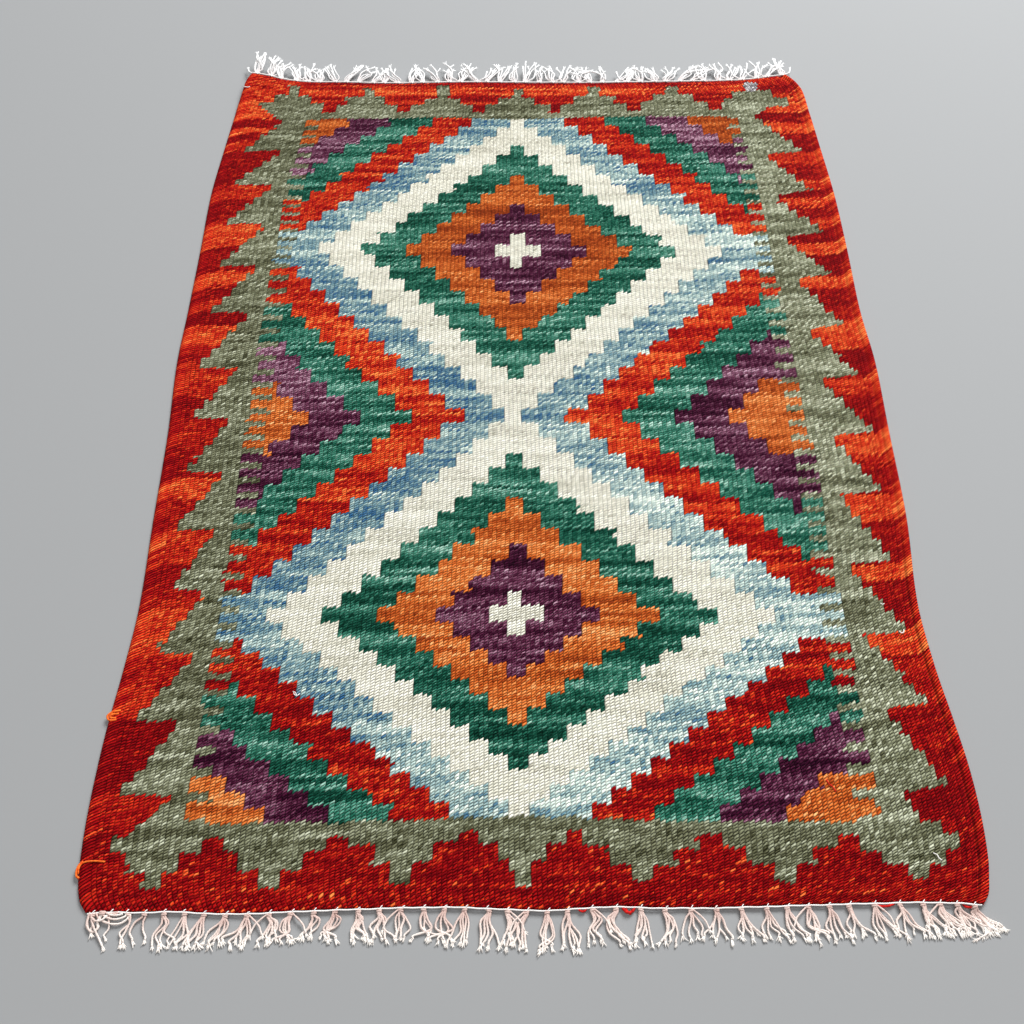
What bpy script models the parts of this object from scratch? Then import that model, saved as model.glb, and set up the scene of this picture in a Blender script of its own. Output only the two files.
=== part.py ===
"""Small flat-woven kilim rug, lying flat.

Metres, +Z up. X runs across the rug (along the wefts), Y along the warps, from the near end to the far end. The origin is
at the middle of the rug's overall box, on the level that it lies on.

Five pieces: the woven body, the twined cotton cord laid along each end, and the fringe of hitched warp ends beyond each
cord. The body is one sheet with a plain selvedge on the left, a corded one with a shallow groove beside it on the right,
a flat underside, and the slight curl that its far corners and its near right corner have.
"""

import math

import bmesh
import bpy

MM = 0.001

# Main sizes, in millimetres
THICKNESS = 3.0  # of the woven body between its selvedges
END_THICKNESS = 2.3  # at the first and last wefts
GAP = 0.35  # between pieces that meet
CORD_RADIUS = 0.65  # of the twined cord along each end
CORD_HEIGHT = 1.85  # of the cord's middle above the underside
HEADING_DEPTH = 3.2  # of the strip of hitches that each fringe hangs from
HEADING_THICKNESS = 0.8
BUNDLES = 42  # hitched bundles of warp ends along each end
BUNDLE_WIDTH = 6.6  # at the hitch
SPLAY = 1.9  # how much wider a bundle is at its tip
STRAND_THICKNESS = 1.7  # of a bundle as it lies
WIDTH, LENGTH = 600.0, 866.0  # of the woven body, nominal
ROWS = (0.0, 3.0, 7.0, 16.0, 30.0)  # of the sheet's grid, in from an end
COLUMNS = (23.0, 36.0, 52.0, 72.0, 98.0, 135.0, 185.0, 240.0)  # of the sheet's grid, in from a selvedge
ORIGIN_X, ORIGIN_Y = 0.772, 2.623  # the middle of the overall box in the tables' own coordinates

# The two selvedges. along: share of the rug's length from the near end.
SELVEDGES = (
    # along, left x, right x
    (0.000, -291.5, 290.0),
    (0.008, -296.4, 294.8),
    (0.020, -299.5, 297.8),
    (0.035, -301.2, 300.6),
    (0.070, -302.6, 302.8),
    (0.110, -302.4, 302.4),
    (0.150, -301.0, 299.4),
    (0.200, -297.6, 295.0),
    (0.260, -295.0, 293.2),
    (0.350, -297.2, 300.2),
    (0.450, -299.2, 302.8),
    (0.540, -303.4, 305.2),
    (0.610, -302.8, 302.8),
    (0.700, -302.6, 304.4),
    (0.790, -303.0, 304.8),
    (0.870, -298.7, 302.0),
    (0.930, -294.6, 299.6),
    (0.970, -290.6, 297.0),
    (0.985, -288.9, 292.4),
    (1.000, -285.0, 284.0),
)

# The two woven ends. across: share of the width from the left.
ENDS = (
    # across, near y, far y
    (0.000, -434.0, 441.2),
    (0.030, -433.3, 438.2),
    (0.060, -433.6, 433.8),
    (0.100, -433.3, 432.2),
    (0.160, -435.0, 432.6),
    (0.260, -433.2, 430.6),
    (0.400, -431.6, 432.2),
    (0.510, -434.2, 431.2),
    (0.580, -432.2, 430.8),
    (0.640, -433.2, 430.6),
    (0.700, -433.4, 431.4),
    (0.780, -432.4, 432.2),
    (0.860, -431.4, 433.4),
    (0.930, -430.8, 435.0),
    (0.970, -431.6, 436.8),
    (1.000, -433.5, 439.0),
)

# How far a corner curls up off the floor, and over what distance the curl dies away.
CURLS = (
    # across, along, lift, reach
    (0.0, 1.0, 5.5, 78.0),
    (1.0, 1.0, 3.6, 60.0),
    (1.0, 0.0, 1.6, 34.0),
)

# Thickness from the outer side of a selvedge inwards. The right one stands up as a cord with a groove beside it.
SELVEDGE_PROFILE = (
    # inwards, left thickness, right thickness
    (0.0, 1.3, 1.3),
    (0.9, 2.5, 2.8),
    (2.6, 3.2, 3.8),
    (4.8, 3.3, 3.6),
    (6.4, 3.2, 2.5),
    (7.6, 3.1, 2.1),
    (9.2, 3.0, 2.6),
    (12.0, 3.0, 3.0),
)

# How the fringe lies at stations across the rug. lean: how far the tips lie to the right of the hitch. rise: how high
# the tips stand off the floor.
NEAR_FRINGE = (
    # across, lean, length, rise
    (0.000, 1.5, 20.0, 0.0),
    (0.025, 0.5, 16.0, 0.0),
    (0.060, -3.0, 22.0, 0.0),
    (0.130, -3.5, 22.0, 0.0),
    (0.300, -2.5, 22.0, 0.0),
    (0.500, -1.5, 24.0, 0.0),
    (0.620, 2.0, 23.0, 0.0),
    (0.760, 6.0, 22.0, 0.0),
    (0.900, 8.0, 22.0, 0.0),
    (0.960, 11.0, 21.0, 0.0),
    (1.000, 16.0, 20.0, 0.0),
)
FAR_FRINGE = (
    # across, lean, length, rise
    (0.000, -1.0, 25.0, 10.0),
    (0.030, -3.0, 24.0, 7.0),
    (0.100, -1.0, 22.0, 3.5),
    (0.200, 4.0, 22.0, 3.0),
    (0.450, 0.0, 25.0, 5.0),
    (0.600, -2.0, 22.0, 3.5),
    (0.800, 4.0, 23.0, 4.0),
    (0.960, 5.0, 23.0, 4.0),
    (1.000, 5.0, 24.0, 6.0),
)


def read(table, at, column):
    """The table's column where its first column is at, by straight lines between rows."""
    if at <= table[0][0]:
        return table[0][column]
    for low, high in zip(table, table[1:]):
        if at <= high[0]:
            share = (at - low[0]) / (high[0] - low[0])
            return low[column] + share * (high[column] - low[column])
    return table[-1][column]


def flowing(table, at, column):
    """As read, but by a smooth curve through the rows."""
    rows = table
    spot = min(max(at, rows[0][0]), rows[-1][0])
    k = max(i for i in range(len(rows) - 1) if rows[i][0] <= spot)

    def slope(i):
        low, high = rows[max(i - 1, 0)], rows[min(i + 1, len(rows) - 1)]
        return (high[column] - low[column]) / (high[0] - low[0])

    wide = rows[k + 1][0] - rows[k][0]
    t = (spot - rows[k][0]) / wide
    start, stop = rows[k][column], rows[k + 1][column]
    return (
        start * (2 * t**3 - 3 * t**2 + 1)
        + stop * (3 * t**2 - 2 * t**3)
        + wide * slope(k) * (t**3 - 2 * t**2 + t)
        + wide * slope(k + 1) * (t**3 - t**2)
    )


def plan(across, along):
    """The rug's own grid laid out on the floor, in millimetres."""
    left, right = flowing(SELVEDGES, along, 1), flowing(SELVEDGES, along, 2)
    near, far = flowing(ENDS, across, 1), flowing(ENDS, across, 2)
    return left + (right - left) * across, near + (far - near) * along


def curl(across, along):
    """How high the underside stands off the floor."""
    x, y = plan(across, along)
    height = 0.0
    for corner_across, corner_along, lift, reach in CURLS:
        corner_x, corner_y = plan(corner_across, corner_along)
        near = 1.0 - math.hypot(x - corner_x, y - corner_y) / reach
        if near > 0.0:
            height += lift * near * near * (3.0 - 2.0 * near)
    return height


def columns():
    """The sheet's grid lines along the warps, as shares of the width."""
    inwards = [row[0] for row in SELVEDGE_PROFILE] + list(COLUMNS)
    left = [inset / WIDTH for inset in inwards]
    return left + [0.5] + [1.0 - share for share in reversed(left)]


def woven_edge(across, along):
    """The sheet's own edge at one end, straight between its grid lines."""
    lines = columns()
    k = max(i for i in range(len(lines) - 1) if lines[i] <= across)
    share = (across - lines[k]) / (lines[k + 1] - lines[k])
    a, b = plan(lines[k], along), plan(lines[k + 1], along)
    return a[0] + share * (b[0] - a[0]), a[1] + share * (b[1] - a[1])


def body_thickness(across, along):
    """The sheet's thickness: corded selvedges, thinner ends and a slightly uneven middle."""
    x, y = plan(across, along)
    from_left, from_right = x - plan(0.0, along)[0], plan(1.0, along)[0] - x
    inwards = min(from_left, from_right)
    thick = read(SELVEDGE_PROFILE, inwards, 1 if from_left < from_right else 2)
    if inwards > 10.0:
        thick += 0.16 * math.sin(0.041 * x + 0.9) * math.sin(0.027 * y + 0.4)
    to_end = min(y - plan(across, 0.0)[1], plan(across, 1.0)[1] - y)
    return thick - (THICKNESS - END_THICKNESS) * max(0.0, 1.0 - to_end / 6.0)


def vertex(shape, x, y, z):
    return shape.verts.new(((x - ORIGIN_X) * MM, (y - ORIGIN_Y) * MM, z * MM))


def finished(shape, name, colour, roughness, smooth_degrees):
    """Closes the bmesh into an object with its own material."""
    bmesh.ops.recalc_face_normals(shape, faces=shape.faces[:])
    mesh = bpy.data.meshes.new(name)
    shape.to_mesh(mesh)
    shape.free()
    mesh.shade_smooth()
    mesh.set_sharp_from_angle(angle=math.radians(smooth_degrees))
    piece = bpy.data.objects.new(name, mesh)
    bpy.context.scene.collection.objects.link(piece)
    material = bpy.data.materials.new(name)
    material.use_nodes = True
    shader = material.node_tree.nodes["Principled BSDF"]
    shader.inputs["Base Color"].default_value = (*colour, 1.0)
    shader.inputs["Roughness"].default_value = roughness
    shader.inputs["Metallic"].default_value = 0.0
    mesh.materials.append(material)
    return piece


def woven_body():
    """The sheet: a grid of its top and one of its underside, joined round the rim."""
    across = columns()
    ends = [inset / LENGTH for inset in ROWS]
    steps = 36
    along = (
        ends
        + [
            ends[-1] + (1.0 - 2.0 * ends[-1]) * j / steps
            for j in range(1, steps)
        ]
        + [1.0 - share for share in reversed(ends)]
    )
    shape = bmesh.new()
    top, under = [], []
    for v in along:
        upper_row, lower_row = [], []
        for u in across:
            x, y = plan(u, v)
            low = curl(u, v)
            lower_row.append(vertex(shape, x, y, low))
            upper_row.append(vertex(shape, x, y, low + body_thickness(u, v)))
        top.append(upper_row)
        under.append(lower_row)
    for j in range(len(along) - 1):
        for i in range(len(across) - 1):
            shape.faces.new((top[j][i], top[j][i + 1], top[j + 1][i + 1], top[j + 1][i]))
            shape.faces.new(
                (under[j][i], under[j + 1][i], under[j + 1][i + 1], under[j][i + 1])
            )
    rim_loop = (
        [(0, i) for i in range(len(across))]
        + [(j, len(across) - 1) for j in range(1, len(along))]
        + [(len(along) - 1, i) for i in reversed(range(len(across) - 1))]
        + [(j, 0) for j in reversed(range(1, len(along) - 1))]
    )
    for (j, i), (m, n) in zip(rim_loop, rim_loop[1:] + rim_loop[:1]):
        shape.faces.new((under[j][i], under[m][n], top[m][n], top[j][i]))
    return finished(shape, "woven_body", (0.48, 0.060, 0.022), 0.9, 60.0)


def end_cord(name, along, outwards):
    """The cord along one end: six-sided, following the end's line just outside the last weft."""
    sides, stations = 6, 44
    shape = bmesh.new()
    rings = []
    for k in range(stations + 1):
        across = 0.004 + 0.992 * k / stations
        x, y = woven_edge(across, along)
        ahead = woven_edge(min(across + 0.01, 0.999), along)
        behind = woven_edge(max(across - 0.01, 0.001), along)
        run = (ahead[0] - behind[0], ahead[1] - behind[1])
        size = math.hypot(*run)
        side = (-run[1] / size, run[0] / size)
        off = GAP + 0.05 + CORD_RADIUS
        x, y = x + side[0] * off * outwards, y + side[1] * off * outwards
        middle = CORD_HEIGHT + curl(across, along)
        ring = []
        for s in range(sides):
            turn = 2.0 * math.pi * (s + 0.5) / sides
            out = CORD_RADIUS * math.cos(turn)
            ring.append(
                vertex(
                    shape,
                    x + side[0] * out,
                    y + side[1] * out,
                    middle + CORD_RADIUS * math.sin(turn),
                )
            )
        rings.append(ring)
    for a, b in zip(rings, rings[1:]):
        for s in range(sides):
            t = (s + 1) % sides
            shape.faces.new((a[s], a[t], b[t], b[s]))
    shape.faces.new(rings[0])
    shape.faces.new(tuple(reversed(rings[-1])))
    return finished(shape, name, (0.80, 0.76, 0.70), 0.85, 80.0)


def fringe(name, along, outwards, lay):
    """One comb: a thin heading of hitches under the cord, and a tapered tooth for each bundle of strands."""
    shape = bmesh.new()
    pitch = 1.0 / BUNDLES
    cuts = []  # shares of the width where a tooth or a space between two teeth starts
    for k in range(BUNDLES):
        middle = (k + 0.5) * pitch + 0.10 * pitch * math.sin(2.3 * k)
        half = 0.5 * BUNDLE_WIDTH / WIDTH
        cuts += [middle - half, middle + half]
    cuts = [max(cuts[0] - 0.004, 0.001)] + cuts + [min(cuts[-1] + 0.004, 0.999)]

    def place(across, out, z):
        x, y = woven_edge(across, along)
        return vertex(shape, x, y + out * outwards, z + curl(across, along))

    columns = []
    for across in cuts:
        columns.append(
            (
                place(across, GAP, 0.0),
                place(across, GAP, HEADING_THICKNESS),
                place(across, GAP + HEADING_DEPTH, 0.0),
                place(across, GAP + HEADING_DEPTH, HEADING_THICKNESS),
            )
        )
    shape.faces.new((columns[0][0], columns[0][1], columns[0][3], columns[0][2]))
    shape.faces.new((columns[-1][0], columns[-1][2], columns[-1][3], columns[-1][1]))
    for i, (a, b) in enumerate(zip(columns, columns[1:])):
        shape.faces.new((a[0], a[2], b[2], b[0]))
        shape.faces.new((a[1], b[1], b[3], a[3]))
        shape.faces.new((a[0], b[0], b[1], a[1]))
        if i % 2 == 0:
            shape.faces.new((a[2], a[3], b[3], b[2]))
            continue
        across = 0.5 * (cuts[i] + cuts[i + 1])
        bundle = i // 2
        lean = read(lay, across, 1) + 1.4 * math.sin(1.7 * bundle + 0.5)
        reach = read(lay, across, 2) * (1.0 + 0.07 * math.sin(2.9 * bundle))
        rise = read(lay, across, 3) * (1.0 + 0.35 * math.sin(4.1 * bundle))
        root = woven_edge(across, along)
        base_curl = curl(across, along)
        last = (a[2], b[2], b[3], a[3])
        for share, wider in ((0.30, 0.4), (0.65, 1.0), (1.0, SPLAY)):
            half = 0.5 * BUNDLE_WIDTH + 0.5 * wider
            x = root[0] + lean * share * share
            y = root[1] + outwards * (GAP + HEADING_DEPTH + (reach - HEADING_DEPTH) * share)
            low = base_curl * (1.0 - share) ** 2 + rise * share * share
            ring = tuple(
                vertex(shape, x + dx, y, low + dz)
                for dx, dz in (
                    (-half, 0.0),
                    (half, 0.0),
                    (half, STRAND_THICKNESS),
                    (-half, STRAND_THICKNESS),
                )
            )
            for s in range(4):
                t = (s + 1) % 4
                shape.faces.new((last[s], last[t], ring[t], ring[s]))
            last = ring
        shape.faces.new(last)
    return finished(shape, name, (0.80, 0.74, 0.68), 0.9, 40.0)


for thing in list(bpy.data.objects):
    bpy.data.objects.remove(thing, do_unlink=True)

woven_body()
end_cord("end_cord_near", 0.0, -1.0)
end_cord("end_cord_far", 1.0, 1.0)
fringe("fringe_near", 0.0, -1.0, NEAR_FRINGE)
fringe("fringe_far", 1.0, 1.0, FAR_FRINGE)
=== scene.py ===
"""The looks of the kilim rug.

The woven body is laid out weft by weft: each bead, the short length of wool that shows where a weft goes over a warp, has
its own crest in the mesh and its own yarn and shade. The fringe strands and the two end cords are two-ply cotton.

Lengths are in millimetres in the rug's own layout, as in the tables below, until a mesh is made. Then the origin is moved
to the middle of the overall box and the unit is the metre. X runs along the wefts, Y along the warps.
"""

import math

import bpy
import numpy as np
from mathutils import Matrix, Vector


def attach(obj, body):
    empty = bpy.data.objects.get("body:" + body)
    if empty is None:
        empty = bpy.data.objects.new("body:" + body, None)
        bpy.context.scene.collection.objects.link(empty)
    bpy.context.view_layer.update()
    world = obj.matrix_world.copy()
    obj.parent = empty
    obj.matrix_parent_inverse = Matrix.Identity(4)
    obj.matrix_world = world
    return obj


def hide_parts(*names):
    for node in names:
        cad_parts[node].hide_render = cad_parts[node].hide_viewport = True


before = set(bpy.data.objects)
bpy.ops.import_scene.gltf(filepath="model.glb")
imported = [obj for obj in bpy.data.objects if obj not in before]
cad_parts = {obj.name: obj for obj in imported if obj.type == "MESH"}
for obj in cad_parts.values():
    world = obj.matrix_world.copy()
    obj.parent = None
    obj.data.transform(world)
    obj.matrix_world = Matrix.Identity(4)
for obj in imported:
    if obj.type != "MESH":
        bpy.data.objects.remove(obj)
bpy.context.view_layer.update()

MM = 0.001
ORIGIN = np.array((0.772, 2.623, 0.0))
THICKNESS, END_THICKNESS = 3.0, 2.3
WIDTH = 600.0
GAP, CORD_RADIUS, CORD_HEIGHT = 0.35, 0.65, 1.85

RIBS = 165  # warps between the two selvedges
HALF_ROWS = 756  # picks, of half a bead each, along the rug
LENGTHS = 3  # the body is meshed in this many lengths, woven as one

# ---------------------------------------------------------------- the outline

SELVEDGES = (
    # along, left x, right x
    (0.000, -291.5, 290.0),
    (0.008, -296.4, 294.8),
    (0.020, -299.5, 297.8),
    (0.035, -301.2, 300.6),
    (0.070, -302.6, 302.8),
    (0.110, -302.4, 302.4),
    (0.150, -301.0, 299.4),
    (0.200, -297.6, 295.0),
    (0.260, -295.0, 293.2),
    (0.350, -297.2, 300.2),
    (0.450, -299.2, 302.8),
    (0.540, -303.4, 305.2),
    (0.610, -302.8, 302.8),
    (0.700, -302.6, 304.4),
    (0.790, -303.0, 304.8),
    (0.870, -298.7, 302.0),
    (0.930, -294.6, 299.6),
    (0.970, -290.6, 297.0),
    (0.985, -288.9, 292.4),
    (1.000, -285.0, 284.0),
)
ENDS = (
    # across, near y, far y
    (0.000, -434.0, 441.2),
    (0.030, -433.3, 438.2),
    (0.060, -433.6, 433.8),
    (0.100, -433.3, 432.2),
    (0.160, -435.0, 432.6),
    (0.260, -433.2, 430.6),
    (0.400, -431.6, 432.2),
    (0.510, -434.2, 431.2),
    (0.580, -432.2, 430.8),
    (0.640, -433.2, 430.6),
    (0.700, -433.4, 431.4),
    (0.780, -432.4, 432.2),
    (0.860, -431.4, 433.4),
    (0.930, -430.8, 435.0),
    (0.970, -431.6, 436.8),
    (1.000, -433.5, 439.0),
)
CURLS = (
    # across, along, lift, reach
    (0.0, 1.0, 5.5, 78.0),
    (1.0, 1.0, 3.6, 60.0),
    (1.0, 0.0, 1.6, 34.0),
)
SELVEDGE_PROFILE = (
    # inwards, left thickness, right thickness
    (0.0, 1.3, 1.3),
    (0.9, 2.5, 2.8),
    (2.6, 3.2, 3.8),
    (4.8, 3.3, 3.6),
    (6.4, 3.2, 2.5),
    (7.6, 3.1, 2.1),
    (9.2, 3.0, 2.6),
    (12.0, 3.0, 3.0),
)


def lerp(table, at, column=1):
    """The table's column at these places, by straight lines between rows, whichever way the first column runs."""
    rows = sorted((row[0], row[column]) for row in table)
    return np.interp(at, [row[0] for row in rows], [row[1] for row in rows])


def flowing(table, at, column):
    """The table's column at these places, by a smooth curve through the rows."""
    x = np.array([row[0] for row in table])
    y = np.array([row[column] for row in table])
    at = np.clip(np.asarray(at, float), x[0], x[-1])
    slope = np.empty(len(x))
    slope[1:-1] = (y[2:] - y[:-2]) / (x[2:] - x[:-2])
    slope[0] = (y[1] - y[0]) / (x[1] - x[0])
    slope[-1] = (y[-1] - y[-2]) / (x[-1] - x[-2])
    k = np.clip(np.searchsorted(x, at, side="right") - 1, 0, len(x) - 2)
    wide = x[k + 1] - x[k]
    t = (at - x[k]) / wide
    return (
        y[k] * (2 * t**3 - 3 * t**2 + 1)
        + y[k + 1] * (3 * t**2 - 2 * t**3)
        + wide * slope[k] * (t**3 - 2 * t**2 + t)
        + wide * slope[k + 1] * (t**3 - t**2)
    )


def plan(across, along):
    """The rug's own grid laid out on the floor."""
    left, right = flowing(SELVEDGES, along, 1), flowing(SELVEDGES, along, 2)
    near, far = flowing(ENDS, across, 1), flowing(ENDS, across, 2)
    return left + (right - left) * across, near + (far - near) * along


def curl(x, y):
    """How high the underside stands off the floor."""
    height = np.zeros(np.broadcast(x, y).shape)
    for corner_across, corner_along, lift, reach in CURLS:
        cx, cy = plan(corner_across, corner_along)
        near = np.clip(1.0 - np.hypot(x - cx, y - cy) / reach, 0.0, 1.0)
        height += lift * near * near * (3.0 - 2.0 * near)
    return height


def drift(x, y, wide, high, seed):
    """Smooth random values from -1 to 1 with features about this wide and high."""
    grid = np.random.default_rng(seed).uniform(
        -1.0, 1.0, (int(1100 / high) + 4, int(760 / wide) + 4)
    )
    gx, gy = (x + 370.0) / wide, (y + 530.0) / high
    ix, iy = np.floor(gx).astype(int), np.floor(gy).astype(int)
    fx, fy = gx - ix, gy - iy
    fx, fy = fx * fx * (3 - 2 * fx), fy * fy * (3 - 2 * fy)
    low = grid[iy, ix] * (1 - fx) + grid[iy, ix + 1] * fx
    high_ = grid[iy + 1, ix] * (1 - fx) + grid[iy + 1, ix + 1] * fx
    return low * (1 - fy) + high_ * fy


def picks(x, rows, wide, seed):
    """Random values from -1 to 1 that change smoothly along each pick of the weft, and are new at each one."""
    rng = np.random.default_rng(seed)
    grid = rng.uniform(-1.0, 1.0, (HALF_ROWS + 2, int(760 / wide) + 5))
    gx = (x + 370.0) / wide + rng.uniform(0.0, 1.0, HALF_ROWS + 2)[rows]
    ix = np.floor(gx).astype(int)
    fx = gx - ix
    fx = fx * fx * (3 - 2 * fx)
    return grid[rows, ix] * (1 - fx) + grid[rows, ix + 1] * fx


# How far the weaving has wandered from a true grid: the warps sideways, and the weft lines along the rug.
WANDER = (
    # y, warps at x -185, -100, -5, 90, 180, weft lines at the same five
    (355, 2.5, 3.0, -1.0, -2.5, -1.0, -0.5, 0.5, -2.0, 1.5, 2.0),
    (290, 1.5, 2.0, -1.0, -1.5, -0.5, 3.8, 2.0, -1.5, -0.8, 1.5),
    (220, 1.5, 1.0, -1.0, -0.5, 0.0, 4.0, 0.5, -1.5, -4.0, -3.0),
    (130, 2.5, 2.0, -1.0, -1.0, 1.0, 2.5, 1.0, 0.0, -2.0, -3.0),
    (30, 1.5, 3.0, -1.0, -1.5, 2.5, -4.0, -3.0, -1.0, -2.5, -2.5),
    (-70, 1.5, 2.5, -1.0, -1.0, 4.0, -2.0, -0.5, -1.0, -2.0, -2.5),
    (-165, 2.0, 1.5, -1.0, -0.5, 2.5, 0.5, 1.0, -0.5, -2.0, -3.5),
    (-255, 1.0, 1.0, -1.5, -1.0, 2.5, -2.5, -1.5, -0.5, -2.5, -4.0),
    (-350, 0.0, 2.0, -2.0, -3.0, 1.5, -4.0, -2.5, 0.0, -4.0, -5.0),
)
WANDER_X = (-185.0, -100.0, -5.0, 90.0, 180.0)


def wander(x, y, first):
    """WANDER between its places. first: 1 for the warps, 6 for the weft lines."""
    columns = [lerp(WANDER, y, first + i) for i in range(5)]
    at = np.clip(x, WANDER_X[0], WANDER_X[-1])
    out = np.zeros(np.broadcast(x, y).shape)
    for i in range(4):
        t = np.clip((at - WANDER_X[i]) / (WANDER_X[i + 1] - WANDER_X[i]), 0.0, 1.0)
        t = t * t * (3 - 2 * t)
        out += (columns[i + 1] - columns[i]) * t
    return out + columns[0]


# ---------------------------------------------------------------- the design

RED, OLIVE, GREEN, IVORY, BLUE, ORANGE, PURPLE, SILVER = range(8)

# Upper edge of the field's step rows on the middle line. The rows between are evenly spaced.
STEP_ROWS = (
    # row, y
    (0, 372.0),
    (3, 330.0),
    (6, 284.0),
    (9, 242.0),
    (12, 200.0),
    (15, 154.0),
    (18, 107.5),
    (21, 63.5),
    (24, 19.0),
    (26, -14.5),
    (27, -29.5),
    (29, -62.0),
    (32, -106.5),
    (35, -152.0),
    (38, -195.0),
    (41, -233.0),
    (44, -268.0),
    (47, -304.5),
    (50, -338.5),
    (53, -372.0),
)
STEP = 14.1  # a step's width, four warps
MIDDLE = (
    # y, x of the design's middle line
    (400, -3.0),
    (190, -4.5),
    (0, -9.5),
    (-210, -10.0),
    (-380, -8.0),
)
BANDS = (
    # steps from the middle of a diamond, yarn
    (4.5, PURPLE),
    (7.5, ORANGE),
    (10.5, GREEN),
    (13.5, IVORY),
    (16.5, BLUE),
    (19.5, RED),
    (22.5, GREEN),
    (25.5, PURPLE),
)
DIAMOND_ROWS = (13, 39)
LEFT_SPIKES = (
    # tip y, tip x, neck y, neck x
    (319, -279, 319, -244),
    (266, -282, 266, -246),
    (210, -284, 210, -247),
    (154, -284, 154, -249),
    (97, -284, 97, -250),
    (35, -284, 35, -252),
    (-22, -281, -22, -252),
    (-80, -279, -80, -250),
    (-137, -279, -137, -250),
    (-192, -273, -192, -249),
    (-245, -276, -245, -249),
    (-297, -280, -297, -250),
    (-352, -283, -352, -250),
)
RIGHT_SPIKES = (
    # tip y, tip x, neck y, neck x
    (317, 283, 312, 243),
    (261, 286, 252, 245),
    (204, 291, 195, 246),
    (147, 286, 141, 249),
    (83, 285, 77, 249),
    (23, 288, 18, 250),
    (-40, 286, -44, 250),
    (-100, 281, -103, 247),
    (-166, 279, -169, 245),
    (-228, 278, -231, 245),
    (-287, 282, -290, 250),
    (-348, 284, -352, 250),
)
TOP_PYRAMIDS = (
    # base from, to, top, middle from, to, top, tip from, to, top
    (-272, -208, 397, -258, -221, 409, -244, -232, 424),
    (-194, -130, 394, -184, -144, 408, -166, -156, 422),
    (-116, -50, 394, -102, -63, 403, -88, -76, 426),
    (-36, 31, 396, -23, 16, 406, -8, 2.5, 420),
    (44, 113, 394, 58, 100, 407, 72, 84, 423),
    (127, 196, 397, 138, 182, 410, 153, 167, 424),
    (211, 278, 402, 223, 264, 414, 237, 250, 429),
)
BOTTOM_PYRAMIDS = (
    # base from, to, bottom, middle from, to, bottom, tip from, to, bottom
    (-283, -221, -392, -270, -236, -407, -258, -246, -418),
    (-208, -141, -391, -196, -155, -405, -181, -168, -418),
    (-125, -51, -388, -110, -69, -402, -96, -82, -416),
    (-37, 22, -391, -24, 9, -402, -15, -4, -419),
    (35, 111, -391, 50, 96, -404, 65, 80, -415),
    (126, 200, -390, 142, 184, -402, 157, 171, -416),
    (214, 284, -393, 230, 271, -403, 245, 257, -415),
)
# The comb along the field's sides: its teeth in the field's colours, with the olive between them.
COMB = (
    # y, left out, left in, right out, right in
    (365, -224.0, -210.0, 225.0, 213.0),
    (320, -227.0, -212.0, 227.5, 214.0),
    (270, -231.0, -215.0, 231.0, 216.0),
    (100, -236.0, -219.0, 231.5, 216.0),
    (-350, -236.0, -221.0, 232.0, 216.0),
)
TEETH = (
    # left upper y, left teeth, right upper y, right teeth, yarn
    (372.0, 3, 372.0, 2, ORANGE),
    (328.0, 3, 340.0, 4, PURPLE),
    (277.5, 2, 286.5, 3, GREEN),
    (246.5, 4, 244.5, 3, RED),
    (199.5, 4, 201.0, 4, BLUE),
    (155.0, 3, 147.0, 2, RED),
    (106.0, 3, 117.0, 3, GREEN),
    (60.5, 3, 68.5, 3, PURPLE),
    (15.5, 5, 17.5, 5, ORANGE),
    (-57.0, 4, -61.5, 3, PURPLE),
    (-118.5, 2, -104.0, 4, GREEN),
    (-149.5, 3, -159.0, 2, RED),
    (-195.0, 3, -192.5, 3, BLUE),
    (-237.0, 3, -234.0, 3, RED),
    (-276.0, 2, -274.5, 2, GREEN),
    (-304.5, 2, -303.0, 2, PURPLE),
    (-335.0, 2, -335.0, 2, ORANGE),
    (-372.0, 1, -372.0, 1, OLIVE),
)


def spikes(out_x, y, rows, y0, x0):
    """Where the olive spikes along one side reach. out_x is measured outwards."""
    inside = np.zeros(y.shape, bool)
    above, neck = y0, x0
    for tip_y, tip_x, neck_y, neck_x in rows:
        tip_x, neck_x = abs(tip_x), abs(neck_x)
        lean = (tip_y - neck_y) * np.clip(
            (out_x - neck_x + 8) / (tip_x - neck_x + 8), 0, 1
        )
        share = np.clip((above - y) / (above - neck_y), 0, 1)
        reach = neck - 4 + (tip_x - neck + 4) * (np.floor(share * 6.0) + 0.9) / 6.0
        inside |= (
            (y <= above + lean)
            & (y > neck_y + lean)
            & (out_x <= np.minimum(reach, tip_x))
        )
        above, neck = neck_y, neck_x
    return inside


def teeth(y, column):
    """Whether a tooth of the comb is at this height, and in which yarn. column: 0 for the left side, 2 for the right."""
    upper = np.array([row[column] for row in TEETH])
    k = np.clip(np.searchsorted(-upper, -y, side="right") - 1, 0, len(TEETH) - 2)
    share = np.clip((upper[k] - y) / (upper[k] - upper[k + 1]), 0.0, 0.999)
    part = share * np.array([row[column + 1] for row in TEETH])[k] % 1.0
    return (part > 0.2) & (part < 0.8), np.array([row[4] for row in TEETH])[k]


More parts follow.
